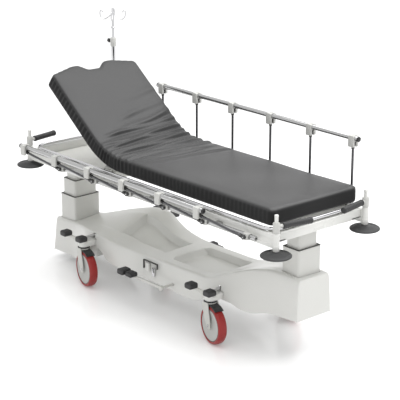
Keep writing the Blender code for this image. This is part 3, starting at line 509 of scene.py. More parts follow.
def inflated(thing, most):
    # air pressure pushes the skin out with gravity off; no point may go further than most
    before = np.empty(len(thing.data.vertices) * 3)
    thing.data.vertices.foreach_get("co", before)
    cloth = thing.modifiers.new("air", "CLOTH")
    cloth.settings.quality = 4
    cloth.settings.use_pressure = True
    cloth.settings.uniform_pressure_force = 4
    cloth.settings.effector_weights.gravity = 0
    cloth.point_cache.frame_start = 1
    cloth.point_cache.frame_end = 20
    for number in range(1, 21):
        bpy.context.scene.frame_set(number)
    after = np.empty_like(before)
    ready = thing.evaluated_get(bpy.context.evaluated_depsgraph_get()).to_mesh()
    ready.vertices.foreach_get("co", after)
    thing.modifiers.remove(cloth)
    bpy.context.scene.frame_set(1)
    step = (after - before).reshape(-1, 3)
    length = np.linalg.norm(step, axis=1, keepdims=True)
    step *= np.minimum(1, most / np.maximum(length, 1e-9))
    thing.data.vertices.foreach_set("co", (before.reshape(-1, 3) + step).ravel())
    thing.data.update()


def bent(flat, half):
    # points in the flat pad, from the hinge: a quadratic curve joins the level seat and the raised back
    x, y, height = flat.T
    level = np.array((1.0, 0.0))
    raised = np.array((math.cos(backAngle), -math.sin(backAngle)))
    t = np.clip((half - x) / (2 * half), 0, 1)[:, None]
    curve = (1 - t) ** 2 * half * level - t * t * half * raised
    forward = (1 - t) * level + t * raised
    forward /= np.linalg.norm(forward, axis=1, keepdims=True)
    curve = curve + np.maximum(x - half, 0)[:, None] * level + np.minimum(x + half, 0)[:, None] * raised
    place = curve + height[:, None] * np.stack((-forward[:, 1], forward[:, 0]), 1)
    return np.stack((hinge[0] + place[:, 0], y, hinge[2] + place[:, 1]), 1)


def foldHeight(x, y, half):
    # each fold is a ridge with a hollow beside it, along a bowed line from the near to the far edge
    share = np.clip((y + half) / (2 * half), 0, 1)
    total = np.zeros_like(x)
    for near, far, bow, height, width, start, end in mattress["folds"]:
        line = near + (far - near) * share + bow * 4 * share * (1 - share)
        line = line + mattress["wander"] * np.sin(9 * share + 37 * near)
        across = (x - line) / width
        strength = smoothStep((share - start) / 0.25 + 0.35) * smoothStep((end - share) / 0.25 + 0.45)
        strength = strength * (0.72 + 0.28 * np.cos(6.3 * share + 50 * far))
        ridge = np.exp(-across ** 2) - mattress["hollow"] * np.exp(-(across - 1.25) ** 2)
        total += mattress["depth"] * height * strength * ridge
    return total


def flatPad(rise, thick, half, foot):
    # the flat outline given its thickness, its edges rounded, then remeshed, smoothed, inflated and refined
    head = mattress["inset"] - mattress["backLong"]
    tip = head - mattress["tip"]
    far = [(head, half), (tip, mattress["tipOuter"]), (tip, mattress["tipInner"]), (head, mattress["notch"])]
    places = [(foot, -half), (foot, half)] + far + [(x, -y) for x, y in far[::-1]]
    reach = (mattress["footReach"],) * 2 + mattress["headReach"] + mattress["headReach"][::-1]
    outline = softened(places, reach, 5, closed=True)
    pad = link("mattress", meshOf("mattress", [prism(outline, rise, rise + thick - mattress["inset"])]))
    edge = pad.modifiers.new("edge", "BEVEL")
    edge.width = mattress["edge"]
    edge.segments = 3
    edge.limit_method = "ANGLE"
    edge.angle_limit = math.radians(60)
    skin = pad.modifiers.new("skin", "REMESH")
    skin.mode = "VOXEL"
    skin.voxel_size = mattress["voxel"]
    even = pad.modifiers.new("even", "SMOOTH")
    even.iterations = 3
    bpy.context.view_layer.update()
    applied(pad)
    inflated(pad, mattress["swell"])
    finer = pad.modifiers.new("finer", "SUBSURF")
    finer.levels = finer.render_levels = 1
    bpy.context.view_layer.update()
    return applied(pad)


def makeMattress():
    # a flat pad gets its folds, scallops, pleats and seam, and is then bent over the hinge
    rise = mattressLow - hinge[2]
    thick = mattressTop - mattressLow
    half = mattressHalf - mattress["inset"]
    pad = flatPad(rise, thick, half, highOf("mattress_seat", "x") - hinge[0] - mattress["inset"])
    count = len(pad.data.vertices)
    flat = np.empty(count * 3)
    normal = np.empty(count * 3)
    pad.data.vertices.foreach_get("co", flat)
    pad.data.vertices.foreach_get("normal", normal)
    flat, normal = flat.reshape(-1, 3), normal.reshape(-1, 3)
    flat[:, 2] = np.maximum(flat[:, 2], rise)
    rest = flat.copy()
    x, y, height = rest.T
    facingUp = smoothStep(normal[:, 2] * 1.6 - 0.1)
    wall = 1 - smoothStep(np.abs(normal[:, 2]) * 1.5)
    share = np.clip((height - rise) / thick, 0, 1)
    # the top: folds, and a slow wave from two crossed sines
    flat[:, 2] += facingUp * foldHeight(x, y, half)
    soft = np.sin(5.1 * x + 2.0 * y) * np.cos(8.3 * y - 1.7 * x) + 0.6 * np.sin(13.0 * x - 9.0 * y + 1.0)
    flat[:, 2] += facingUp * mattress["swellWave"] * soft
    # the side walls: scallops along the back, pleats where it bends
    scallop = (0.35 + 0.65 * smoothStep((0.30 - x) / 0.3)) * mattress["scallop"]
    scallop = scallop * np.sin(2 * math.pi * x / mattress["scallopLong"] + 1.3 * np.sin(11 * x))
    pleat = mattress["pleat"] * np.exp(-((x - 0.02) / mattress["pleatReach"]) ** 2) * np.sqrt(share)
    pleat = pleat * np.sin(2 * math.pi * x / mattress["pleatLong"])
    flat[:, 1] += wall * np.sign(y) * (scallop * (0.4 + 0.6 * share) + pleat) * (np.abs(y) > half - 0.02)
    # a welded seam runs round the wall a little under the top edge
    seam = mattress["seam"] * np.exp(-((share - mattress["seamAt"]) / mattress["seamWide"]) ** 2)
    flat -= normal * (wall * seam)[:, None]
    bend = mattress["bend"]
    pad.data.vertices.foreach_set("co", bent(flat, bend).ravel())
    pad.data.attributes.new("flatPlace", "FLOAT_VECTOR", "POINT").data.foreach_set("vector", rest.ravel())
    # wallShare sets the painted shade on the fabric's walls as well as their roughness
    pad.data.attributes.new("wallShare", "FLOAT", "POINT").data.foreach_set("value", wall)
    pad.data.update()
    pad.data.materials.append(coatedFabric)
    pad.data.shade_smooth()
    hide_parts("mattress_seat", "mattress_back")
    middle = rise + thick / 2
    start, end = bent(np.array([(bend, 0.0, middle), (-bend, 0.0, middle)]), bend)
    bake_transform(pad)
    print("mattress made,", count, "points")


makeMattress()

# ---- base cover ----
cover = {
    "wall": 0.004,
    "widest": postY - 0.086,
    "narrow": 0.127,
    "headWall": columnX["head"] - 0.097,
    "footWall": columnX["foot"] + 0.094,
    "clear": 0.0022,
    "stations": (-1.035, -0.86, -0.79, -0.73, -0.68, -0.62, -0.50, -0.452, -0.432, -0.35, -0.26, -0.18,
                 -0.082, -0.062, 0.03, 0.05, 0.20, 0.34, 0.378, 0.398, 0.45, 0.55, 0.64, 0.70, 0.77,
                 0.87, 0.952),
    "lowShare": ((-1.04, 0.0), (-0.86, 0.06), (-0.74, 0.43), (-0.66, 0.83), (-0.40, 1.0), (0.45, 1.0),
                 (0.60, 0.89), (0.68, 0.55), (0.76, 0.10), (0.86, 0.0), (0.96, -0.12)),
    "shoulderInset": ((0.45, 0.027), (0.58, 0.046), (0.68, 0.043), (0.76, 0.020)),
    "lowEdge": ((-1.04, 0.046), (-0.79, 0.055), (-0.73, 0.085), (-0.69, 0.160), (-0.64, 0.214),
                (-0.48, 0.214), (-0.43, 0.165), (-0.37, 0.150), (0.0, 0.158), (0.32, 0.145),
                (0.36, 0.160), (0.41, 0.214), (0.59, 0.228), (0.65, 0.180), (0.70, 0.182),
                (0.76, 0.203), (0.96, 0.205)),
    "nearShoulder": ((-1.04, 0.240), (-0.86, 0.248), (-0.64, 0.286), (-0.49, 0.284), (-0.40, 0.270),
                     (0.0, 0.282), (0.36, 0.290), (0.45, 0.312), (0.55, 0.362), (0.65, 0.398),
                     (0.76, 0.422), (0.85, 0.424), (0.96, 0.411)),
    "farShoulder": ((-1.04, 0.240), (-0.86, 0.262), (-0.66, 0.326), (-0.50, 0.372), (-0.37, 0.388),
                    (-0.31, 0.372), (-0.25, 0.320), (-0.15, 0.294), (0.0, 0.284), (0.36, 0.290),
                    (0.45, 0.312), (0.60, 0.356), (0.76, 0.402), (0.85, 0.412), (0.96, 0.411)),
    "shoulderOut": 0.012, "shoulderAt": 0.84,    # the wall's knee: out from the ridge, share of the height
    "edgeOut": 0.003, "rimIn": 0.024,
    # each tray: start, end, sides in from the shoulders, depth; its end walls lie between close stations
    "trays": ((-0.44, -0.07, 0.110, 0.045), (0.04, 0.39, 0.070, 0.035)),
    "close": (-0.452, -0.432, -0.082, -0.062, 0.03, 0.05, 0.378, 0.398),
    "slope": 0.012,
    # how far the corners are softened: across each section, then along the trolley
    "across": (1, 0.06, 0.014, 0.02, 0.006, 0.006, 0.03, 0.03, 0.006, 0.006, 0.02, 0.014, 0.06, 1),
    "along": 0.055, "alongClose": 0.007, "alongEnds": 0.014,
    # openings: how low each column's cut goes; the arms' slots with the brake shafts' holes
    "columnCuts": (("foot", "middle", 0.33), ("head", "lower", 0.18)), "cutTop": 0.5,
    "slotHalf": 0.033, "slotLow": 0.13, "slotTop": 0.2580, "holeHalf": 0.011, "cutHalf": 0.32,
    "pumpHole": 0.010,
}


def fromTable(x, name):
    # straight lines between the table's places
    table = np.array(cover[name])
    return np.interp(x, table[:, 0], table[:, 1])


def coverGrid():
    # sections across the trolley, each from the near lower edge over the top to the far one
    x = np.array(cover["stations"])
    lowHalf = cover["narrow"] + fromTable(x, "lowShare") * (cover["widest"] - cover["narrow"])
    ridge = lowHalf - fromTable(x, "shoulderInset")
    low, near, far = (fromTable(x, name) for name in ("lowEdge", "nearShoulder", "farShoulder"))
    trayHalf = ridge / 2
    deep = np.zeros_like(x)
    for start, end, inset, depth in cover["trays"]:
        inside = (x > start) & (x < end)
        trayHalf = np.where(inside, ridge - inset, trayHalf)
        deep = np.where(inside, depth, deep)

    def deckAt(y):
        share = smoothStep((y + ridge) / (2 * ridge))
        return near + share * (far - near)

    knee, edge, rim = ridge + cover["shoulderOut"], ridge + cover["edgeOut"], ridge - cover["rimIn"]
    lip = trayHalf + cover["slope"]
    rows = [(-lowHalf, low), (-knee, low + cover["shoulderAt"] * (near - low)), (-edge, near), (-rim, near),
            (-lip, deckAt(-trayHalf)), (-trayHalf, deckAt(-trayHalf) - deep),
            (-trayHalf / 3, deckAt(-trayHalf / 3) - deep), (trayHalf / 3, deckAt(trayHalf / 3) - deep),
            (trayHalf, deckAt(trayHalf) - deep), (lip, deckAt(trayHalf)),
            (rim, far), (edge, far), (knee, low + cover["shoulderAt"] * (far - low)), (lowHalf, low)]
    grid = np.array([np.stack((x, y, z), 1) for y, z in rows]).transpose(1, 0, 2)
    for end, wall in ((0, cover["headWall"]), (-1, cover["footWall"])):
        closing = grid[end].copy()
        closing[:, 0] = wall
        closing[:, 2] = low[end]
        upper = grid[end].copy()
        upper[:, 0] = wall - 0.004 * (1 if end else -1)
        upper[:, 1] *= 0.985
        pair = (closing, upper) if end == 0 else (upper, closing)
        grid = np.concatenate((pair, grid) if end == 0 else (grid, pair))
    grid = softened(grid, np.array(cover["across"]), 4)
    isClose = np.isin(np.round(grid[:, 0, 0], 3), cover["close"])
    reach = np.where(isClose, cover["alongClose"], cover["along"])
    reach[:3] = reach[-3:] = cover["alongEnds"]
    return softened(grid.transpose(1, 0, 2), reach, 4).transpose(1, 0, 2)


def coverCuts():
    # what is taken out of the cover: two column wells, the castor arms' slots, the pump shaft's hole
    cuts = []
    for end, stage, low in cover["columnCuts"]:
        node = f"{end}_column_{stage}_stage"
        halfA = (highOf(node, "x") - lowOf(node, "x")) / 2 + cover["clear"]
        ring = roundedRing(halfA, highOf(node, "y") + cover["clear"], 0.013) + np.array((columnX[end], 0))
        cuts.append(prism(ring, low, cover["cutTop"]))
    wide, low, top, hole = (cover[key] for key in ("slotHalf", "slotLow", "slotTop", "holeHalf"))
    reach = np.array((0.004, 0.004, 0.004, 0.002, 0.009, 0.009, 0.002, 0.004))
    side = cover["cutHalf"]
    for x in castorX.values():
        slot = np.array([(x - wide, low), (x + wide, low), (x + wide, top - 0.0025), (x + hole, top),
                         (x + hole, shaftZ + hole), (x - hole, shaftZ + hole), (x - hole, top),
                         (x - wide, top - 0.0025)])
        cuts.append(alongLeg(softened(slot, reach, 4, closed=True), -side, side))
    pump = placeOf("far_pump_press")
    cuts.append(rod((pump[0], -side, pump[2]), (pump[0], side, pump[2]), cover["pumpHole"], 24))
    return cuts


def makeCover():
    # the grid as a skin, thickened inwards, with its openings cut
    points = coverGrid()[:, ::-1]
    shell = gridShape(points, closeColumns=False, caps=False)
    mesh = bpy.data.meshes.new("base_cover_shell")
    mesh.from_pydata(shell[0].tolist(), [], shell[1])
    bm = bmesh.new()
    bm.from_mesh(mesh)
    bmesh.ops.remove_doubles(bm, verts=bm.verts, dist=1e-6)
    bmesh.ops.triangulate(bm, faces=bm.faces)
    bm.to_mesh(mesh)
    bm.free()
    mesh.materials.append(coverSkin)
    thing = link("base_cover_shell", mesh)
    wall = thing.modifiers.new("wall", "SOLIDIFY")
    wall.thickness = cover["wall"]
    wall.offset = -1
    cutFrom(thing, coverCuts())
    thing.data.shade_smooth()
    thing.data.set_sharp_from_angle(angle=math.radians(32))
    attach(thing, "base")
    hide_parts("base_cover")
    print("base cover made")


makeCover()

# ---- trim on the cover and the castor arms ----
trim = {
    "wallY": -0.2125,         # the near wall at the recess
    # x and z limits of the dark bands painted as the recess outline's shade, the lever and the pull
    "strips": ((-0.100, -0.096, 0.212, 0.262), (-0.100, 0.016, 0.258, 0.262), (0.012, 0.016, 0.232, 0.262)),
    "lever": (-0.078, -0.048, 0.205, 0.250),
    "pull": (-0.022, -0.002, 0.188, 0.238),
    # half of an arm cap's outline: across the arm and past the castor's axis
    "cap": ((0.0325, 0.006), (0.022, 0.031)),
    "capFrom": 0.205, "capLow": 0.2245, "capHigh": 0.2550, "capRound": 0.014,
    "clipY": (-0.07, 0.035), "clipLow": 0.194, "clipHigh": 0.212, "clipHalf": 0.018,
}


def makeCoverTrim():
    # recess outline as dark bands of painted shade, lever and pull on the near wall; a rounded cap on each
    # castor arm; two foot clips
    def plate(limits, out, into, edge, corner, axis="z"):
        x0, x1, z0, z1 = limits
        return roundedBlock((x0, trim["wallY"] - out, z0), (x1, trim["wallY"] + into, z1), edge, corner, axis)

    # painted shade: dark bands standing proud of the wall take the place of the shaded edge of a recess,
    # which is not cut
    makePiece("cover_lever_recess",
              {darkSeal: [plate(limits, 0.0035, 0.006, 0.0008, 0.0012) for limits in trim["strips"]],
               whiteCoat: [plate(trim["lever"], 0.006, 0.004, 0.002, 0.006, "y")],
               chrome: [plate(trim["pull"], 0.008, 0.002, 0.002, 0.004, "y")]},
              "base", ())
    (wide, shoulder), (narrow, tip) = trim["cap"]
    half = [(wide, trim["capFrom"]), (wide, castorY + shoulder), (narrow, castorY + tip)]
    outline = np.array([(-half[0][0], half[0][1])] + half + [(-a, b) for a, b in half[:0:-1]])
    caps = []
    for x in castorX.values():
        rounded = softened(outline + (x, 0), trim["capRound"], 4, closed=True)
        cap = prism(rounded, trim["capLow"], trim["capHigh"])
        caps += [mirrored(cap, side) for side in sides.values()]
    makePiece("castor_arm_caps", {whiteCoat: caps}, "base", (), bevel=0.003)
    x, wide = cover["footWall"] - 0.03, trim["clipHalf"]
    low, high = trim["clipLow"], trim["clipHigh"]
    clips = [roundedBlock((x - 0.02, y - wide, low), (x + 0.012, y + wide, high), 0.003, 0.004)
             for y in trim["clipY"]]
    makePiece("cover_clips", {blackMoulding: clips}, "base", ())


makeCoverTrim()

# ---- lifting columns ----
column = {
    "wall": 0.010, "corner": 0.013,
    "collar": 0.009, "stand": 0.0009,        # height of the proud collar, and how far it stands out
    "seal": 0.0022, "sealIn": 0.0095, "sealRound": 0.006,      # the wiper seal on top of a stage
    "overlap": 0.056,                        # the top stage starts this far above the middle one's foot
    "cap": 0.010, "ramRadius": 0.012,
}


def stackedRings(x, halfA, halfB, levels, corner=None):
    # rounded rectangles, each drawn in by d at height z, joined into a closed ring of faces
    rings = []
    for d, z in levels:
        ring = roundedRing(halfA - d, halfB - d, corner or max(column["corner"] - d, 0.003))
        rings.append(np.column_stack((ring, np.full(len(ring), z))))
    return moved(gridShape(np.array(rings), closeRows=True), (x, 0, 0))


def makeColumns():
    # each stage is a tube with a collar; a seal tops the outer ones, a plate and the ram's rod the top one
    wall, collar, stand, seal, sealIn = (column[key] for key in ("wall", "collar", "stand", "seal", "sealIn"))
    for end in ends:
        x = columnX[end]
        for part, body in (("lower", "base"), ("middle", f"{end}_middle_stage"), ("top", "litter")):
            node = f"{end}_column_{part}_stage"
            low, high = lowOf(node, "z"), highOf(node, "z")
            halfA = (highOf(node, "x") - lowOf(node, "x")) / 2
            halfB = highOf(node, "y")
            if part == "top":
                low = lowOf(f"{end}_column_middle_stage", "z") + column["overlap"]
            levels = ((0.0015, low), (0, low + 0.0015), (0, high - collar), (-stand, high - collar + 0.0008),
                      (-stand, high - 0.0018), (0.0012, high), (wall, high), (wall, low))
            shapes = {columnCoat: [stackedRings(x, halfA, halfB, levels)]}
            if part == "top":
                cap = roundedBlock((x - halfA + 0.002, -halfB + 0.002, high - column["cap"]),
                                   (x + halfA - 0.002, halfB - 0.002, high), 0.001, 0.012)
                shapes[columnCoat].append(cap)
                foot = (x, 0, lowOf(node, "z"))
                shapes[chrome] = [rod(foot, (x, 0, high - 0.002), column["ramRadius"], 24)]
            else:
                levels = ((0.0015, high), (0.0015, high + seal), (sealIn, high + seal), (sealIn, high))
                shapes[darkSeal] = [stackedRings(x, halfA, halfB, levels, column["sealRound"])]
            makePiece(f"{end}_{part}_stage", shapes, body, (node,))
    print("columns made")


makeColumns()

# ---- castors ----
castor = {
    "turn": -12.0,            # degrees, as the castors stand in the frame
    "trail": 0.035, "wheelRadius": 0.100,
    "tread": 0.0125,          # height of the rounded tread over the tyre's shoulder
    "tyreIn": 0.0830, "tyreHalf": 0.0240, "hubHalf": 0.0232,
    "crown": 0.206, "legIn": 0.0270, "leg": 0.0055,
    "guardIn": 0.1025, "guardOut": 0.1085, "guardHalf": 0.0245, "guardFrom": 58, "guardTo": 118,
}


def wheelShapes():
    # the tyre is a rounded ring about the axle, the hub a dished disc, both turned about y
    turns = np.linspace(-math.pi / 2, math.pi / 2, 17)
    inner, half = castor["tyreIn"], castor["tyreHalf"]
    radii = castor["wheelRadius"] - castor["tread"] + castor["tread"] * np.abs(np.cos(turns)) ** 0.6
    tread = np.stack((radii, half * np.sin(turns)), 1)
    foot = [(inner, half - 0.0025), (inner - 0.001, half - 0.007),
            (inner - 0.001, 0.007 - half), (inner, 0.0025 - half)]
    tyre = turned(np.concatenate((tread, foot)), 72, "y", closed=True)
    half = castor["hubHalf"]
    face = [(0, half - 0.002), (0.0145, half - 0.002), (0.0165, half - 0.004), (0.024, half - 0.0052),
            (0.052, half - 0.0045), (0.066, half - 0.0020), (0.0735, half - 0.0004), (0.0785, half - 0.0006),
            (0.0815, half - 0.0026)]
    hub = turned(face + [(r, -h) for r, h in reversed(face)], 64, "y")
    lip = [(0.0812, half - 0.004), (0.0838, half - 0.004), (0.0838, half - 0.0010), (0.0812, half - 0.0010)]
    lips = [turned([(r, side * h) for r, h in lip], 64, "y", closed=True) for side in (1, -1)]
    return tyre, hub, lips


def forkShapes():
    # two tapered legs from the crown to the axle, a turned crown, a swivel ring and a curved wheel guard
    crown, legIn, trail, axleZ = (castor[key] for key in ("crown", "legIn", "trail", "wheelRadius"))
    outline = [(-0.027, crown + 0.012), (-0.026, crown - 0.012), (-0.014, 0.150), (trail - 0.0185, 0.096),
               (trail - 0.011, 0.081), (trail + 0.011, 0.081), (trail + 0.0185, 0.096), (0.044, 0.150),
               (0.032, crown - 0.012), (0.029, crown + 0.012)]
    leg = alongLeg(softened(outline, 0.018, 5, closed=True), legIn, legIn + castor["leg"])
    profile = [(0, crown), (0.029, crown), (0.0325, crown + 0.003), (0.0325, crown + 0.009),
               (0.030, crown + 0.0125), (0.022, crown + 0.0150), (0, crown + 0.0150)]
    stem = turned([(0, crown + 0.010), (0.0098, crown + 0.010), (0.0098, 0.2505),
                   (0.008, 0.252), (0, 0.252)], 32)
    ring = turned([(0.024, crown + 0.0105), (0.0335, crown + 0.0090), (0.0335, crown + 0.0145),
                   (0.024, crown + 0.0150)], 40, closed=True)
    turns = np.radians(np.linspace(castor["guardFrom"], castor["guardTo"], 16))
    half, inner, outer = castor["guardHalf"], castor["guardIn"], castor["guardOut"]
    section = [(-half, inner), (half, inner), (half, outer), (-half, outer)]
    guard = np.array([[(trail + r * math.cos(t), y, axleZ + r * math.sin(t)) for y, r in section]
                      for t in turns])
    nut = rod((trail, 0.0315, axleZ), (trail, 0.0358, axleZ), 0.0085, 6)
    axle = rod((trail, -0.0325, axleZ), (trail, 0.0325, axleZ), 0.0049, 20)
    coated = [mirrored(leg, -1), leg, turned(profile, 48)]
    return coated, [stem, axle, mirrored(nut, -1), nut], [ring, gridShape(guard)]


def makeCastors():
    # one wheel and one fork, turned to their swivel angle and set at each castor's axis
    wheel = wheelShapes()
    fork = forkShapes()
    axle = (castor["trail"], 0, castor["wheelRadius"])
    for end in ends:
        for name, side in sides.items():
            place = (castorX[end], side * castorY, 0)

            def put(shapes, shift=(0, 0, 0)):
                return [moved(turnedBy(moved(shape, shift), math.radians(castor["turn"])), place)
                        for shape in shapes]

            tyre, hub, lips = wheel
            makePiece(f"{end}_{name}_wheel_and_tyre",
                      {redTyre: put([tyre], axle), hubGrey: put([hub], axle), darkSeal: put(lips, axle)},
                      f"{end}_{name}_wheel", (f"{end}_{name}_castor_wheel",))
            coated, bright, black = (put(shapes) for shapes in fork)
            makePiece(f"{end}_{name}_fork", {castorCoat: coated, chrome: bright, blackMoulding: black},
                      f"{end}_{name}_swivel", (f"{end}_{name}_castor_fork",), bevel=0.0014)
    print("castors made")


makeCastors()

# ---- brake and pump pedals ----
pedal = {
    "rise": 0.010, "high": 0.031,            # the pads' underside over the shaft's axis, and their height
    "reach": 0.070, "padHalf": 0.025,
    "padIn": 0.3025, "padOut": 0.3545,
    "ribs": 5, "rib": 0.0016,
    "barIn": 0.3000, "barOut": 0.3110, "barDrop": 0.003,
    # the rocker bar's side outline about the shaft
    "bar": ((-0.088, 0.002), (-0.03, 0.0), (-0.012, -0.011), (0.012, -0.011), (0.03, 0.0), (0.088, 0.002),
            (0.088, 0.017), (0.03, 0.013), (0.0, 0.0135), (-0.03, 0.013), (-0.088, 0.017)),
    # pump pads from the pivot: near corner, far corner and number of ribs
    "pumpPads": (((-0.308, 0.030, 0.005), (-0.259, 0.091, 0.036), 5),
                 ((-0.254, 0.031, 0.004), (-0.202, 0.080, 0.031), 4)),
    "pumpArm": ((-0.235, 0.034, -0.006), (0.013, 0.044, 0.008)),
    "pumpBoss": 0.0125,
}


def padShapes(low, high, ribs):
    # a rounded pad with raised ribs across its top and down its outer face
    (x0, y0, z0), (x1, y1, z1) = low, high
    shapes = [roundedBlock(low, (x1, y1, z1 - pedal["rib"]), 0.006, 0.009, "y")]
    for y in np.linspace(y0 + 0.010, y1 - 0.008, ribs):
        shapes.append(roundedBlock((x0 + 0.0025, y - 0.0022, z0 + 0.003), (x1 - 0.0025, y + 0.0022, z1),
                                   0.0012, 0.0060, "y"))
    return shapes


def makePedals():
    # a rocker with two pads and a hub on each shaft end, then a lever with two pads on each pump pivot
    low, half = shaftZ + pedal["rise"], pedal["padHalf"]
    for end in ends:
        x = castorX[end]
        black = []
        for middle in (x - pedal["reach"], x + pedal["reach"]):
            black += padShapes((middle - half, pedal["padIn"], low),
                               (middle + half, pedal["padOut"], low + pedal["high"]), pedal["ribs"])
        outline = np.array(pedal["bar"]) + (x, shaftZ - pedal["barDrop"])
        bar = [alongLeg(softened(outline, 0.012, 3, closed=True), pedal["barIn"], pedal["barOut"]),
               rod((x, highOf(f"{end}_brake_shaft", "y"), shaftZ), (x, 0.3180, shaftZ), 0.0125, 28, 0.002),
               rod((x, 0.3170, shaftZ), (x, 0.3205, shaftZ), 0.0070, 6, 0.0008)]
        for name, side in sides.items():
            makePiece(f"{end}_{name}_brake_rocker",
                      {blackMoulding: allMirrored(black, side), castorCoat: allMirrored(bar, side)},
                      f"{end}_brake", (f"{end}_{name}_brake_pedal",))
    pivot = placeOf("far_pump_press")
    x, y, z = pivot
    black = []
    for low, high, ribs in pedal["pumpPads"]:
        black += padShapes(pivot + low, pivot + high, ribs)
    low, high = pedal["pumpArm"]
    arm = [roundedBlock(pivot + low, pivot + high, 0.002, 0.003, "x"),
           rod((x, 0.120, z), (x, y + 0.046, z), 0.0069, 24),
           rod((x, y + 0.030, z), (x, y + 0.048, z), pedal["pumpBoss"], 24, 0.002)]
    for name, side in sides.items():
        makePiece(f"{name}_pump_lever",
                  {blackMoulding: allMirrored(black, side), castorCoat: allMirrored(arm, side)},
                  f"{name}_pump", (f"{name}_pump_pedal",))
    print("pedals made")


makePedals()

# ---- litter frame ----
litter = {
    "railLow": 0.636, "railHigh": 0.702, "railIn": 0.285, "railOut": 0.309, "railLong": 0.992,
    "rimZ": 0.7145, "rimR": 0.009, "rimTurn": 0.085,
    "postR": 0.016, "neckR": 0.0100, "neckDrop": 0.013,
    "crossX": 0.970, "crossHalf": 0.014, "plateHalf": 0.050,
    "gusset": ((0.984, 0.300), (0.984, 0.225), (0.974, 0.225), (0.925, 0.285), (0.925, 0.300)),
    "cheek": ((-0.016, -0.021), (0.038, -0.021), (0.038, 0.0), (0.012, 0.009), (-0.012, 0.009)),
    "cheekY": 0.255,
}


def postShape(x, y):
    # a corner post turned about its axis: thin neck, thick body with a collar, then the bumper's pin
    low, top = lowOf("litter_frame", "z"), highOf("litter_frame", "z")
    neck = deckTop - litter["neckDrop"]
    r, n = litter["postR"], litter["neckR"]
    profile = [(0, top), (n - 0.002, top), (n, top - 0.002), (n, top - 0.012), (n - 0.0007, top - 0.013),
               (n - 0.0007, neck + 0.052), (n, neck + 0.0515), (n, neck), (r - 0.002, neck),
               (r, neck - 0.002),
               (r, 0.655), (r + 0.0012, 0.654), (r + 0.0012, 0.632), (r, 0.630), (r - 0.001, 0.6255),
               (r - 0.003, 0.625), (0.006, 0.625), (0.006, low), (0, low)]
    return moved(turned(profile, 36), (x, y, 0))


def makeLitterFrame():
    # side rails, cross members, column plates, posts, gussets and hinge cheeks, then the bent rim tube
    low, high, long = litter["railLow"], litter["railHigh"], litter["railLong"]
    inner, outer = litter["railIn"], litter["railOut"]
    lip = outer - 0.003
    outline = [(inner, low), (outer, low), (outer, low + 0.018), (lip, low + 0.020),
               (lip, high - 0.020), (outer, high - 0.018), (outer, high), (inner, high)]
    coated = [mirrored(prism(outline, -long, long, "x"), side) for side in sides.values()]
    across, half = inner + 0.006, litter["crossHalf"]
    for x, drop, top in ((litter["crossX"], 0.073, 0.0285), (-litter["crossX"], 0.073, 0.0285),
                         (hinge[0] + 0.045, 0.068, 0.0268)):
        coated.append(roundedBlock((x - half, -across, deckTop - drop), (x + half, across, deckTop - top),
                                   0.001, 0.003, "y"))
    half = litter["plateHalf"]
    for x in columnX.values():
        coated.append(roundedBlock((x - half, -across, carrierLow + 0.0003),
                                   (x + half, across, carrierLow + 0.016), 0.002, 0.004))
    for end in ends.values():
        for side in sides.values():
            coated.append(postShape(end * postX, side * postY))
            gusset = np.array(litter["gusset"]) * (end, 1)
            coated.append(mirrored(prism(gusset, 0.6595, 0.6655), side))
    z, rimY, reach = litter["rimZ"], postY - 0.006, postX - 0.035
    corners = [(reach, -rimY, z), (reach, rimY, z), (-reach, rimY, z), (-reach, -rimY, z)]
    path = softened(corners, litter["rimTurn"], 9, closed=True)
    rim = [carried(path, circle(litter["rimR"], 20), closed=True)]
    for x in np.linspace(-0.75, 0.75, 6):
        stand = roundedBlock((x - 0.015, rimY - 0.005, high - 0.002), (x + 0.015, rimY + 0.005, z - 0.002),
                             0.0015, 0.003)
        rim += [mirrored(stand, side) for side in sides.values()]
    cheek = softened(litter["cheek"], 0.010, 4, closed=True) + hinge[[0, 2]]
    for side in sides.values():
        y = side * litter["cheekY"]
        coated.append(alongLeg(cheek, y - 0.005, y + 0.005))
        rim.append(rod((hinge[0], y + side * 0.0065, hinge[2]), (hinge[0], side * 0.228, hinge[2]),
                       0.005, 16))
    makePiece("litter_beams", {whiteCoat: coated}, "litter", ("litter_frame",), bevel=0.0018)
    makePiece("rim_tube", {chrome: rim}, "litter", ())
    print("litter frame made")


makeLitterFrame()

# ---- backrest frame ----
backrest = {"far": -0.562, "turn": 0.062, "tube": 0.011, "brace": 0.0088, "lug": 0.0145,
            "panelFrom": -0.580, "panelTo": -0.030, "panelHalf": 0.250, "panelLow": 0.008, "panelHigh": 0.016}


def makeBackrestFrame():
    # a bent tube with a brace, hinge lugs and a ribbed panel, drawn level from the hinge, then raised
    half, far = postY - 0.076, backrest["far"]
    path = softened([(-0.002, -half, 0), (far, -half, 0), (far, half, 0), (-0.002, half, 0)],
                    backrest["turn"], 8)
    tubes = [carried(path, circle(backrest["tube"], 20)),
             rod((-0.30, -half, 0), (-0.30, half, 0), backrest["brace"], 20)]
    for side in (-1, 1):
        tubes.append(rod((0, side * (half - 0.010), 0), (0, side * (half + 0.022), 0), backrest["lug"], 28))
    panel = [roundedBlock((backrest["panelFrom"], -backrest["panelHalf"], backrest["panelLow"]),
                          (backrest["panelTo"], backrest["panelHalf"], backrest["panelHigh"]), 0.001, 0.012)]
    for y in (-0.09, 0.09):
        panel.append(roundedBlock((-0.55, y - 0.012, 0.003), (-0.06, y + 0.012, 0.009), 0.001, 0.003))

    def raised(shapes):
        return [turnedBy(moved(shape, hinge), backAngle, "y", hinge) for shape in shapes]

    makePiece("backrest_tubes", {chrome: raised(tubes), laminate: raised(panel)},
              "backrest", ("backrest_frame",))


makeBackrestFrame()


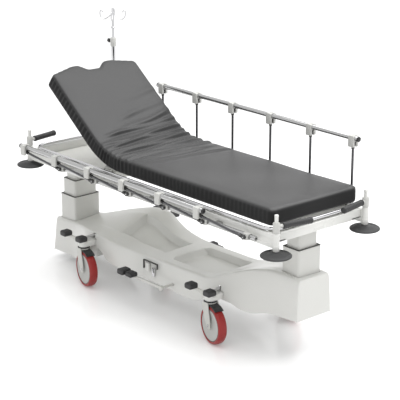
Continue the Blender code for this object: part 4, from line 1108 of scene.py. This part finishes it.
# ---- bumpers and handles ----
bumper = {"ribs": (0.034, 0.066, 5), "slope": 0.235, "ribHigh": 0.0011, "rim": 0.0760}
handle = {
    "grip": 0.0150, "ring": 0.0010, "ringStep": 0.0125,   # the grip's radius, its rings' height and spacing
    "long": 0.165, "start": 0.034, "turn": 10.5,          # the grip points this many degrees off across
    "sleeveR": 0.0172, "sleeveHigh": 0.0475, "level": 0.0288, "drop": 0.012,
}


def bumperShape():
    # a low cone with concentric ribs on top, a rounded rim and a stepped underside
    ribs = []
    for r in np.linspace(*bumper["ribs"]):
        height = 0.0225 - (r - 0.026) * bumper["slope"]
        ribs += [(r - 0.0020, height), (r - 0.0008, height + bumper["ribHigh"]),
                 (r + 0.0008, height + 0.0009), (r + 0.0020, height - 0.0009)]
    rim = bumper["rim"]
    boss = [(0.0068, 0.0230), (0.0150, 0.0230), (0.0165, 0.0222), (0.0240, 0.0222), (0.0260, 0.0225)]
    under = [(0.0715, 0.0108), (0.0748, 0.0085), (rim, 0.0055), (rim - 0.0010, 0.0020),
             (rim - 0.0040, 0.0), (0.062, 0.0), (0.060, 0.003), (0.024, 0.003), (0.022, 0.0), (0.0068, 0.0)]
    return turned(boss + ribs + under, 72, closed=True)


def ringShape(inner, outer, low, high, count, axis="z"):
    # a plain ring about an axis
    return turned([(inner, low), (outer, low), (outer, high), (inner, high)], count, axis, closed=True)


def makeBumpersAndHandles():
    # under each post a disc with a washer and a cap; round its neck a sleeve with a ringed grip
    disc = bumperShape()
    washer = ringShape(0.0066, 0.0135, 0.0228, 0.0262, 32)
    cap = moved(ringShape(0.0066, 0.0125, -0.0022, 0.0012, 32), (0, 0, 0.0025))
    long = np.linspace(0, handle["long"], 67)
    wave = np.clip(np.sin(2 * math.pi * long / handle["ringStep"]) * 2.2, -0.6, 0.6)
    radii = handle["grip"] + handle["ring"] * wave
    radii = np.where(long < 0.009, 0.0165, radii)
    radii = np.where(long > 0.150, 0.0163, radii)
    radii[0] = radii[-1] = 0.0128
    radii[1] = radii[-2] = 0.0156
    low = deckTop - handle["drop"]
    wide, high = handle["sleeveR"], handle["sleeveHigh"]
    sleeve = turned([(0.0107, low), (wide - 0.0010, low), (wide, low + 0.0015), (wide, low + high - 0.0020),
                     (wide - 0.0012, low + high), (0.0107, low + high)], 36, closed=True)
    turn = math.radians(handle["turn"])
    for end, endSign in ends.items():
        for name, side in sides.items():
            x, y = endSign * postX, side * postY
            below = (x, y, lowOf(f"{end}_{name}_bumper_disc", "z"))
            makePiece(f"{end}_{name}_bumper_pad",
                      {discRubber: [moved(disc, below)], chrome: [moved(washer, below), moved(cap, below)]},
                      f"{end}_{name}_bumper", (f"{end}_{name}_bumper_disc",))
            out = np.array((endSign * math.sin(turn), -side * math.cos(turn), 0))
            root = np.array((x, y, low + handle["level"]))
            path = root + np.outer(handle["start"] + long, out)
            grip = carried(path, radii[:, None, None] * circle(1.0, 28))
            neck = rod(root + out * 0.0125, root + out * 0.040, 0.0090, 24)
            button = rod(root + out * 0.198, root + out * 0.2012, 0.0095, 24, 0.0010)
            makePiece(f"{end}_{name}_handle_and_grip",
                      {gripSkin: [grip, button], clampGrey: [moved(sleeve, (x, y, 0)), neck]},
                      f"{end}_{name}_handle", (f"{end}_{name}_push_handle",))
    print("bumpers and handles made")


makeBumpersAndHandles()

# ---- side rails ----
rail = {
    "barY": 0.335, "barR": 0.0125, "barBore": 0.0052, "barHead": 0.075, "barFoot": 0.055,
    "tubeR": 0.0128, "rise": 0.0255, "tubeHead": 0.042, "tubeFoot": 0.040,
    "post": 0.0063, "hub": 0.0110, "hubHalf": 0.0068,
    "clampHalf": 0.018, "clampTop": 0.0405,
    "stands": (-0.45, 0.11, 0.62),           # where the lower bar is held to the litter frame
    "pin": 0.0039,
    "knob": ((0, -0.0245), (0.0070, -0.0240), (0.0100, -0.0215), (0.0110, -0.0180), (0.0105, -0.0120),
             (0.0090, -0.0090), (0.0090, -0.0060), (0.0108, -0.0035), (0.0108, -0.0004), (0, -0.0004)),
}


def lowerBarShapes():
    # a bored bar on stands, with a pivot block, a band and a pin at each post
    start, end = railX[0] - rail["barHead"], railX[-1] + rail["barFoot"]
    barY, radius, bore, long = rail["barY"], rail["barR"], rail["barBore"], end - start
    profile = [(bore, 0), (0.0110, 0), (radius, 0.0015), (radius, long - 0.0015), (0.011, long), (bore, long)]
    bar = [moved(turned(profile, 28, "x", closed=True), (start, barY, railZ))]
    blocks = []
    for x in railX:
        blocks.append(roundedBlock((x - 0.017, barY + 0.004, railZ - 0.016),
                                   (x + 0.017, railY - 0.0076, railZ + 0.016), 0.0015, 0.005, "y"))
        blocks.append(moved(ringShape(0.0131, 0.0150, -0.017, 0.017, 28, "x"), (x, barY, railZ)))
        bar.append(rod((x, railY - 0.010, railZ), (x, railY + 0.0068, railZ), rail["pin"], 12))
    for x in rail["stands"]:
        bar.append(roundedBlock((x - 0.020, 0.3093, railZ - 0.010), (x + 0.020, barY - 0.003, railZ + 0.010),
                                0.0015, 0.004, "y"))
    return start, bar, blocks


def postShapes():
    # a round post between two flat hubs, with a collar beside each
    radius, end = rail["post"], railPost - 0.006
    shaft = turned([(0, 0.006), (radius, 0.006), (radius, end), (0, end)], 20)
    half, wide = rail["hubHalf"], rail["hub"]
    hub = turned([(0.0046, -half), (0.0100, -half), (wide, 0.0010 - half), (wide, half - 0.0010),
                  (0.0100, half), (0.0046, half)], 28, "y", closed=True)
    collar = turned([(0.0062, -0.009), (0.0085, -0.009), (0.0085, 0.007), (0.0062, 0.009)], 20, closed=True)
    dark = [moved(hub, (0, 0, z)) for z in (0, railPost)]
    return [shaft], dark + [moved(collar, (0, 0, z)) for z in (0.020, railPost - 0.020)]


def topTubeShapes(side):
    # a tube with end plugs, held at each post by two plates and a band; drawn from the first upper pivot
    rise, radius, head = rail["rise"], rail["tubeR"], rail["tubeHead"]
    long = railX[-1] - railX[0]
    foot = long + rail["tubeFoot"]
    tube = [rod((-head, 0, rise), (foot, 0, rise), radius, 28)]
    plugs = [moved(turned([(0, 0.0), (0.0100, 0.0), (0.0128, 0.002), (0.0132, 0.008), (0, 0.008)], 28, "x"),
                   (-head - 0.0015, 0, rise)),
             moved(turned([(0, 0.0), (0.0132, 0.0), (0.0128, 0.006), (0.0100, 0.008), (0, 0.008)], 28, "x"),
                   (foot - 0.0065, 0, rise))]
    clamps = []
    wide, high = rail["clampHalf"], rail["clampTop"]
    for x in railX - railX[0]:
        for y0, y1 in ((0.0076, 0.0205), (-0.0190, -0.0076)):
            plate = roundedBlock((x - wide, y0, -0.018), (x + wide, y1, high), 0.0015, 0.005, "y")
            clamps.append(mirrored(plate, side))
        clamps.append(moved(ringShape(0.0131, 0.0153, -0.017, 0.017, 28, "x"), (x, 0, rise)))
        tube.append(mirrored(rod((x, -0.0068, 0), (x, 0.010, 0), rail["pin"], 12), side))
    return tube, clamps, plugs


def makeRails():
    # the near rail is laid down by turning every post about its pivot; the top tube keeps level
    start, bar, blocks = lowerBarShapes()
    knob = turned(rail["knob"], 32, "x")
    stem = rod((-0.004, 0, 0), (0.030, 0, 0), rail["pin"], 16)
    bright, dark = postShapes()
    for name, side in sides.items():
        fold = -railFold if name == "near" else 0.0
        makePiece(f"{name}_lower_bar",
                  {railTube: allMirrored(bar, side), clampGrey: allMirrored(blocks, side)},
                  "litter", (f"{name}_rail_lower_bar",))
        place = (start, side * rail["barY"], railZ)
        makePiece(f"{name}_release_knob", {redMoulding: [moved(knob, place)], chrome: [moved(stem, place)]},
                  f"{name}_release", (f"{name}_rail_release_knob",))
        for number, x in enumerate(railX, 1):
            base = np.array((x, side * railY, railZ))

            def put(shapes):
                return [turnedBy(moved(shape, base), fold, "y", base) for shape in shapes]

            # the posts wear the steel darkened as painted reflection
            makePiece(f"{name}_post_{number}_rod", {postSteel: put(bright), darkSteel: put(dark)},
                      f"{name}_post_{number}", (f"{name}_rail_post_{number}",))
        upright = np.array((math.sin(fold), 0, math.cos(fold)))
        top = np.array((railX[0], side * railY, railZ)) + railPost * upright
        tube, clamps, plugs = ([moved(shape, top) for shape in shapes] for shapes in topTubeShapes(side))
        makePiece(f"{name}_top_tube", {railTube: tube, clampGrey: clamps, blackMoulding: plugs},
                  f"{name}_top_rail", (f"{name}_rail_top",))
    print("side rails made")


makeRails()

# ---- drip pole ----
pole = {
    "low": 0.765, "tubeTop": 1.205, "collarTop": 1.250, "ringZ": 1.307, "hookZ": 1.385,
    "bore": 0.0107, "tube": 0.0120, "rod": 0.0064, "rodBore": 0.0072, "rodFrom": 0.90,
    "knob": 0.0115, "lobes": 5, "lobe": 0.10, "screw": 0.0050,
    "reach": 0.075, "hook": 0.0028, "tip": 0.0042, "turns": (45, 135, 225, 315),
    "ring": ((0, 0.0065), (0.0095, 0.0065), (0.0125, 0.003), (0.0130, 0), (0.0125, -0.003), (0.0095, -0.0060),
             (0, -0.0060)),
    "hub": ((0, 0.012), (0.0095, 0.010), (0.0110, 0.004), (0.0110, -0.008), (0.0085, -0.012), (0, -0.012)),
    # a hook's curve: share of the reach outward, and height from the hub
    "sweep": ((0.0, 0.0), (0.25, -0.010), (0.50, -0.026), (0.74, -0.030), (0.93, -0.018), (1.0, 0.002),
              (0.95, 0.020), (0.84, 0.024), (0.79, 0.014)),
}


def makePole():
    # a tube with a collar and a lobed clamp knob; a rod with a stop ring, a hub and four swept hooks
    x, y = -postX, postY
    low, top, collar = pole["low"], pole["tubeTop"], pole["collarTop"]
    bore, rodBore = pole["bore"], pole["rodBore"]
    tube = turned([(bore, low), (0.0116, low), (pole["tube"], low + 0.001), (pole["tube"], top - 0.004),
                   (bore, top - 0.004)], 32, closed=True)
    sleeve = turned([(rodBore, top - 0.004), (0.0150, top - 0.006), (0.0170, top), (0.0172, collar - 0.006),
                     (0.0150, collar - 0.001), (rodBore, collar)], 36, closed=True)
    z = (top + collar) / 2
    screw = rod((x - 0.014, y, z), (x - 0.030, y, z), pole["screw"], 16)
    turns = np.linspace(0, 2 * math.pi, 48, endpoint=False)
    lobes = circle(pole["knob"], 48) * (1 + pole["lobe"] * np.cos(pole["lobes"] * turns))[:, None]
    stops = np.array((0.0285, 0.0300, 0.0430, 0.0455))
    scale = np.array((0.86, 1.0, 1.0, 0.84))
    knob = carried(np.array([(x - s, y, z) for s in stops]), scale[:, None, None] * lobes)
    makePiece("drip_pole_tube",
              {chrome: [moved(tube, (x, y, 0)), screw], clampGrey: [moved(sleeve, (x, y, 0))],
               blackMoulding: [knob]},
              "litter", ("drip_pole_socket_tube",))
    bright = [rod((x, y, pole["rodFrom"]), (x, y, highOf("drip_pole_rod", "z")), pole["rod"], 24, 0.002),
              moved(turned(pole["ring"], 32), (x, y, pole["ringZ"])),
              moved(turned(pole["hub"], 32), (x, y, pole["hookZ"]))]
    out, rise = np.array(pole["sweep"]).T
    out = out * pole["reach"]
    tip = pole["tip"]
    ball = turned([(0, -tip), (0.0030, -0.0030), (tip, 0), (0.0030, 0.0030), (0, tip)], 16)
    for turn in np.radians(pole["turns"]):
        path = np.stack((x + out * math.cos(turn), y + out * math.sin(turn), pole["hookZ"] + rise), 1)
        bright.append(carried(softened(path, 0.02, 4), circle(pole["hook"], 12)))
        bright.append(moved(ball, path[-1]))
    makePiece("drip_rod_and_hooks", {chrome: bright}, "drip_rod", ("drip_pole_rod",))


makePole()

# ---- pieces kept from the frame ----
kept = {"chassis_frame": whiteCoat, "seat_deck": laminate, "head_panel": laminate,
        "foot_lift_cylinder": darkSteel, "head_lift_cylinder": darkSteel,
        "foot_brake_shaft": chrome, "head_brake_shaft": chrome}
for node, material in kept.items():
    thing = frame["nodes"][node]
    if not thing.material_slots:
        thing.data.materials.append(material)
    for place in thing.material_slots:
        place.material = material

# ---- floor, light and camera ----
studio = {
    "worldStrength": 1.0,
    "floorHalf": 30.0, "floorColour": (0.90, 0.90, 0.90), "floorRough": 0.16, "floorGlow": 0.12,
    # each lamp: place, aim, size, power
    "lamps": {"key": ((0.5, 1.2, 4.6), (0, 0, 0.5), 5.0, 230.0),
              "fill": ((4.5, -3.5, 3.4), (0, 0, 0.6), 2.5, 20.0)},
    "lens": 129.55, "cameraPlace": (5.5246, -4.6858, 2.8916), "cameraTilt": 72.227, "cameraTurn": 49.11,
}


def makeStudio():
    # a white floor and world, two area lamps turned to their aims, and the camera
    wide = studio["floorHalf"]
    floor = link("floor", bpy.data.meshes.new("floor"))
    floor.data.from_pydata([(-wide, -wide, 0), (wide, -wide, 0), (wide, wide, 0), (-wide, wide, 0)], [],
                           [(0, 1, 2, 3)])
    material = makeFinish("floorPaint", studio["floorColour"], studio["floorRough"], vary=0.005, spread=0.02,
                          scale=0.7, bump=0.0)
    shader = material.node_tree.nodes["Principled BSDF"]
    shader.inputs["Emission Color"].default_value = (1, 1, 1, 1)
    shader.inputs["Emission Strength"].default_value = studio["floorGlow"]
    floor.data.materials.append(material)
    world = bpy.data.worlds.new("studio")
    world.use_nodes = True
    backdrop = world.node_tree.nodes["Background"]
    backdrop.inputs["Color"].default_value = (1, 1, 1, 1)
    backdrop.inputs["Strength"].default_value = studio["worldStrength"]
    bpy.context.scene.world = world
    for name, (place, aim, size, power) in studio["lamps"].items():
        light = bpy.data.lights.new(name, "AREA")
        light.size = size
        light.energy = power
        lamp = link(name, light)
        lamp.location = place
        east, north, up = np.array(aim, float) - np.array(place)
        tilt = math.pi / 2 - math.atan2(-up, math.hypot(east, north))
        lamp.rotation_euler = (tilt, 0, math.atan2(-east, north))
    lens = bpy.data.cameras.new("view")
    lens.sensor_width = 36
    lens.lens = studio["lens"]
    camera = link("view", lens)
    camera.location = studio["cameraPlace"]
    camera.rotation_euler = (math.radians(studio["cameraTilt"]), 0, math.radians(studio["cameraTurn"]))
    bpy.context.scene.camera = camera
    bpy.context.scene.view_settings.view_transform = "Standard"


makeStudio()
print("studio made")
bpy.context.view_layer.update()
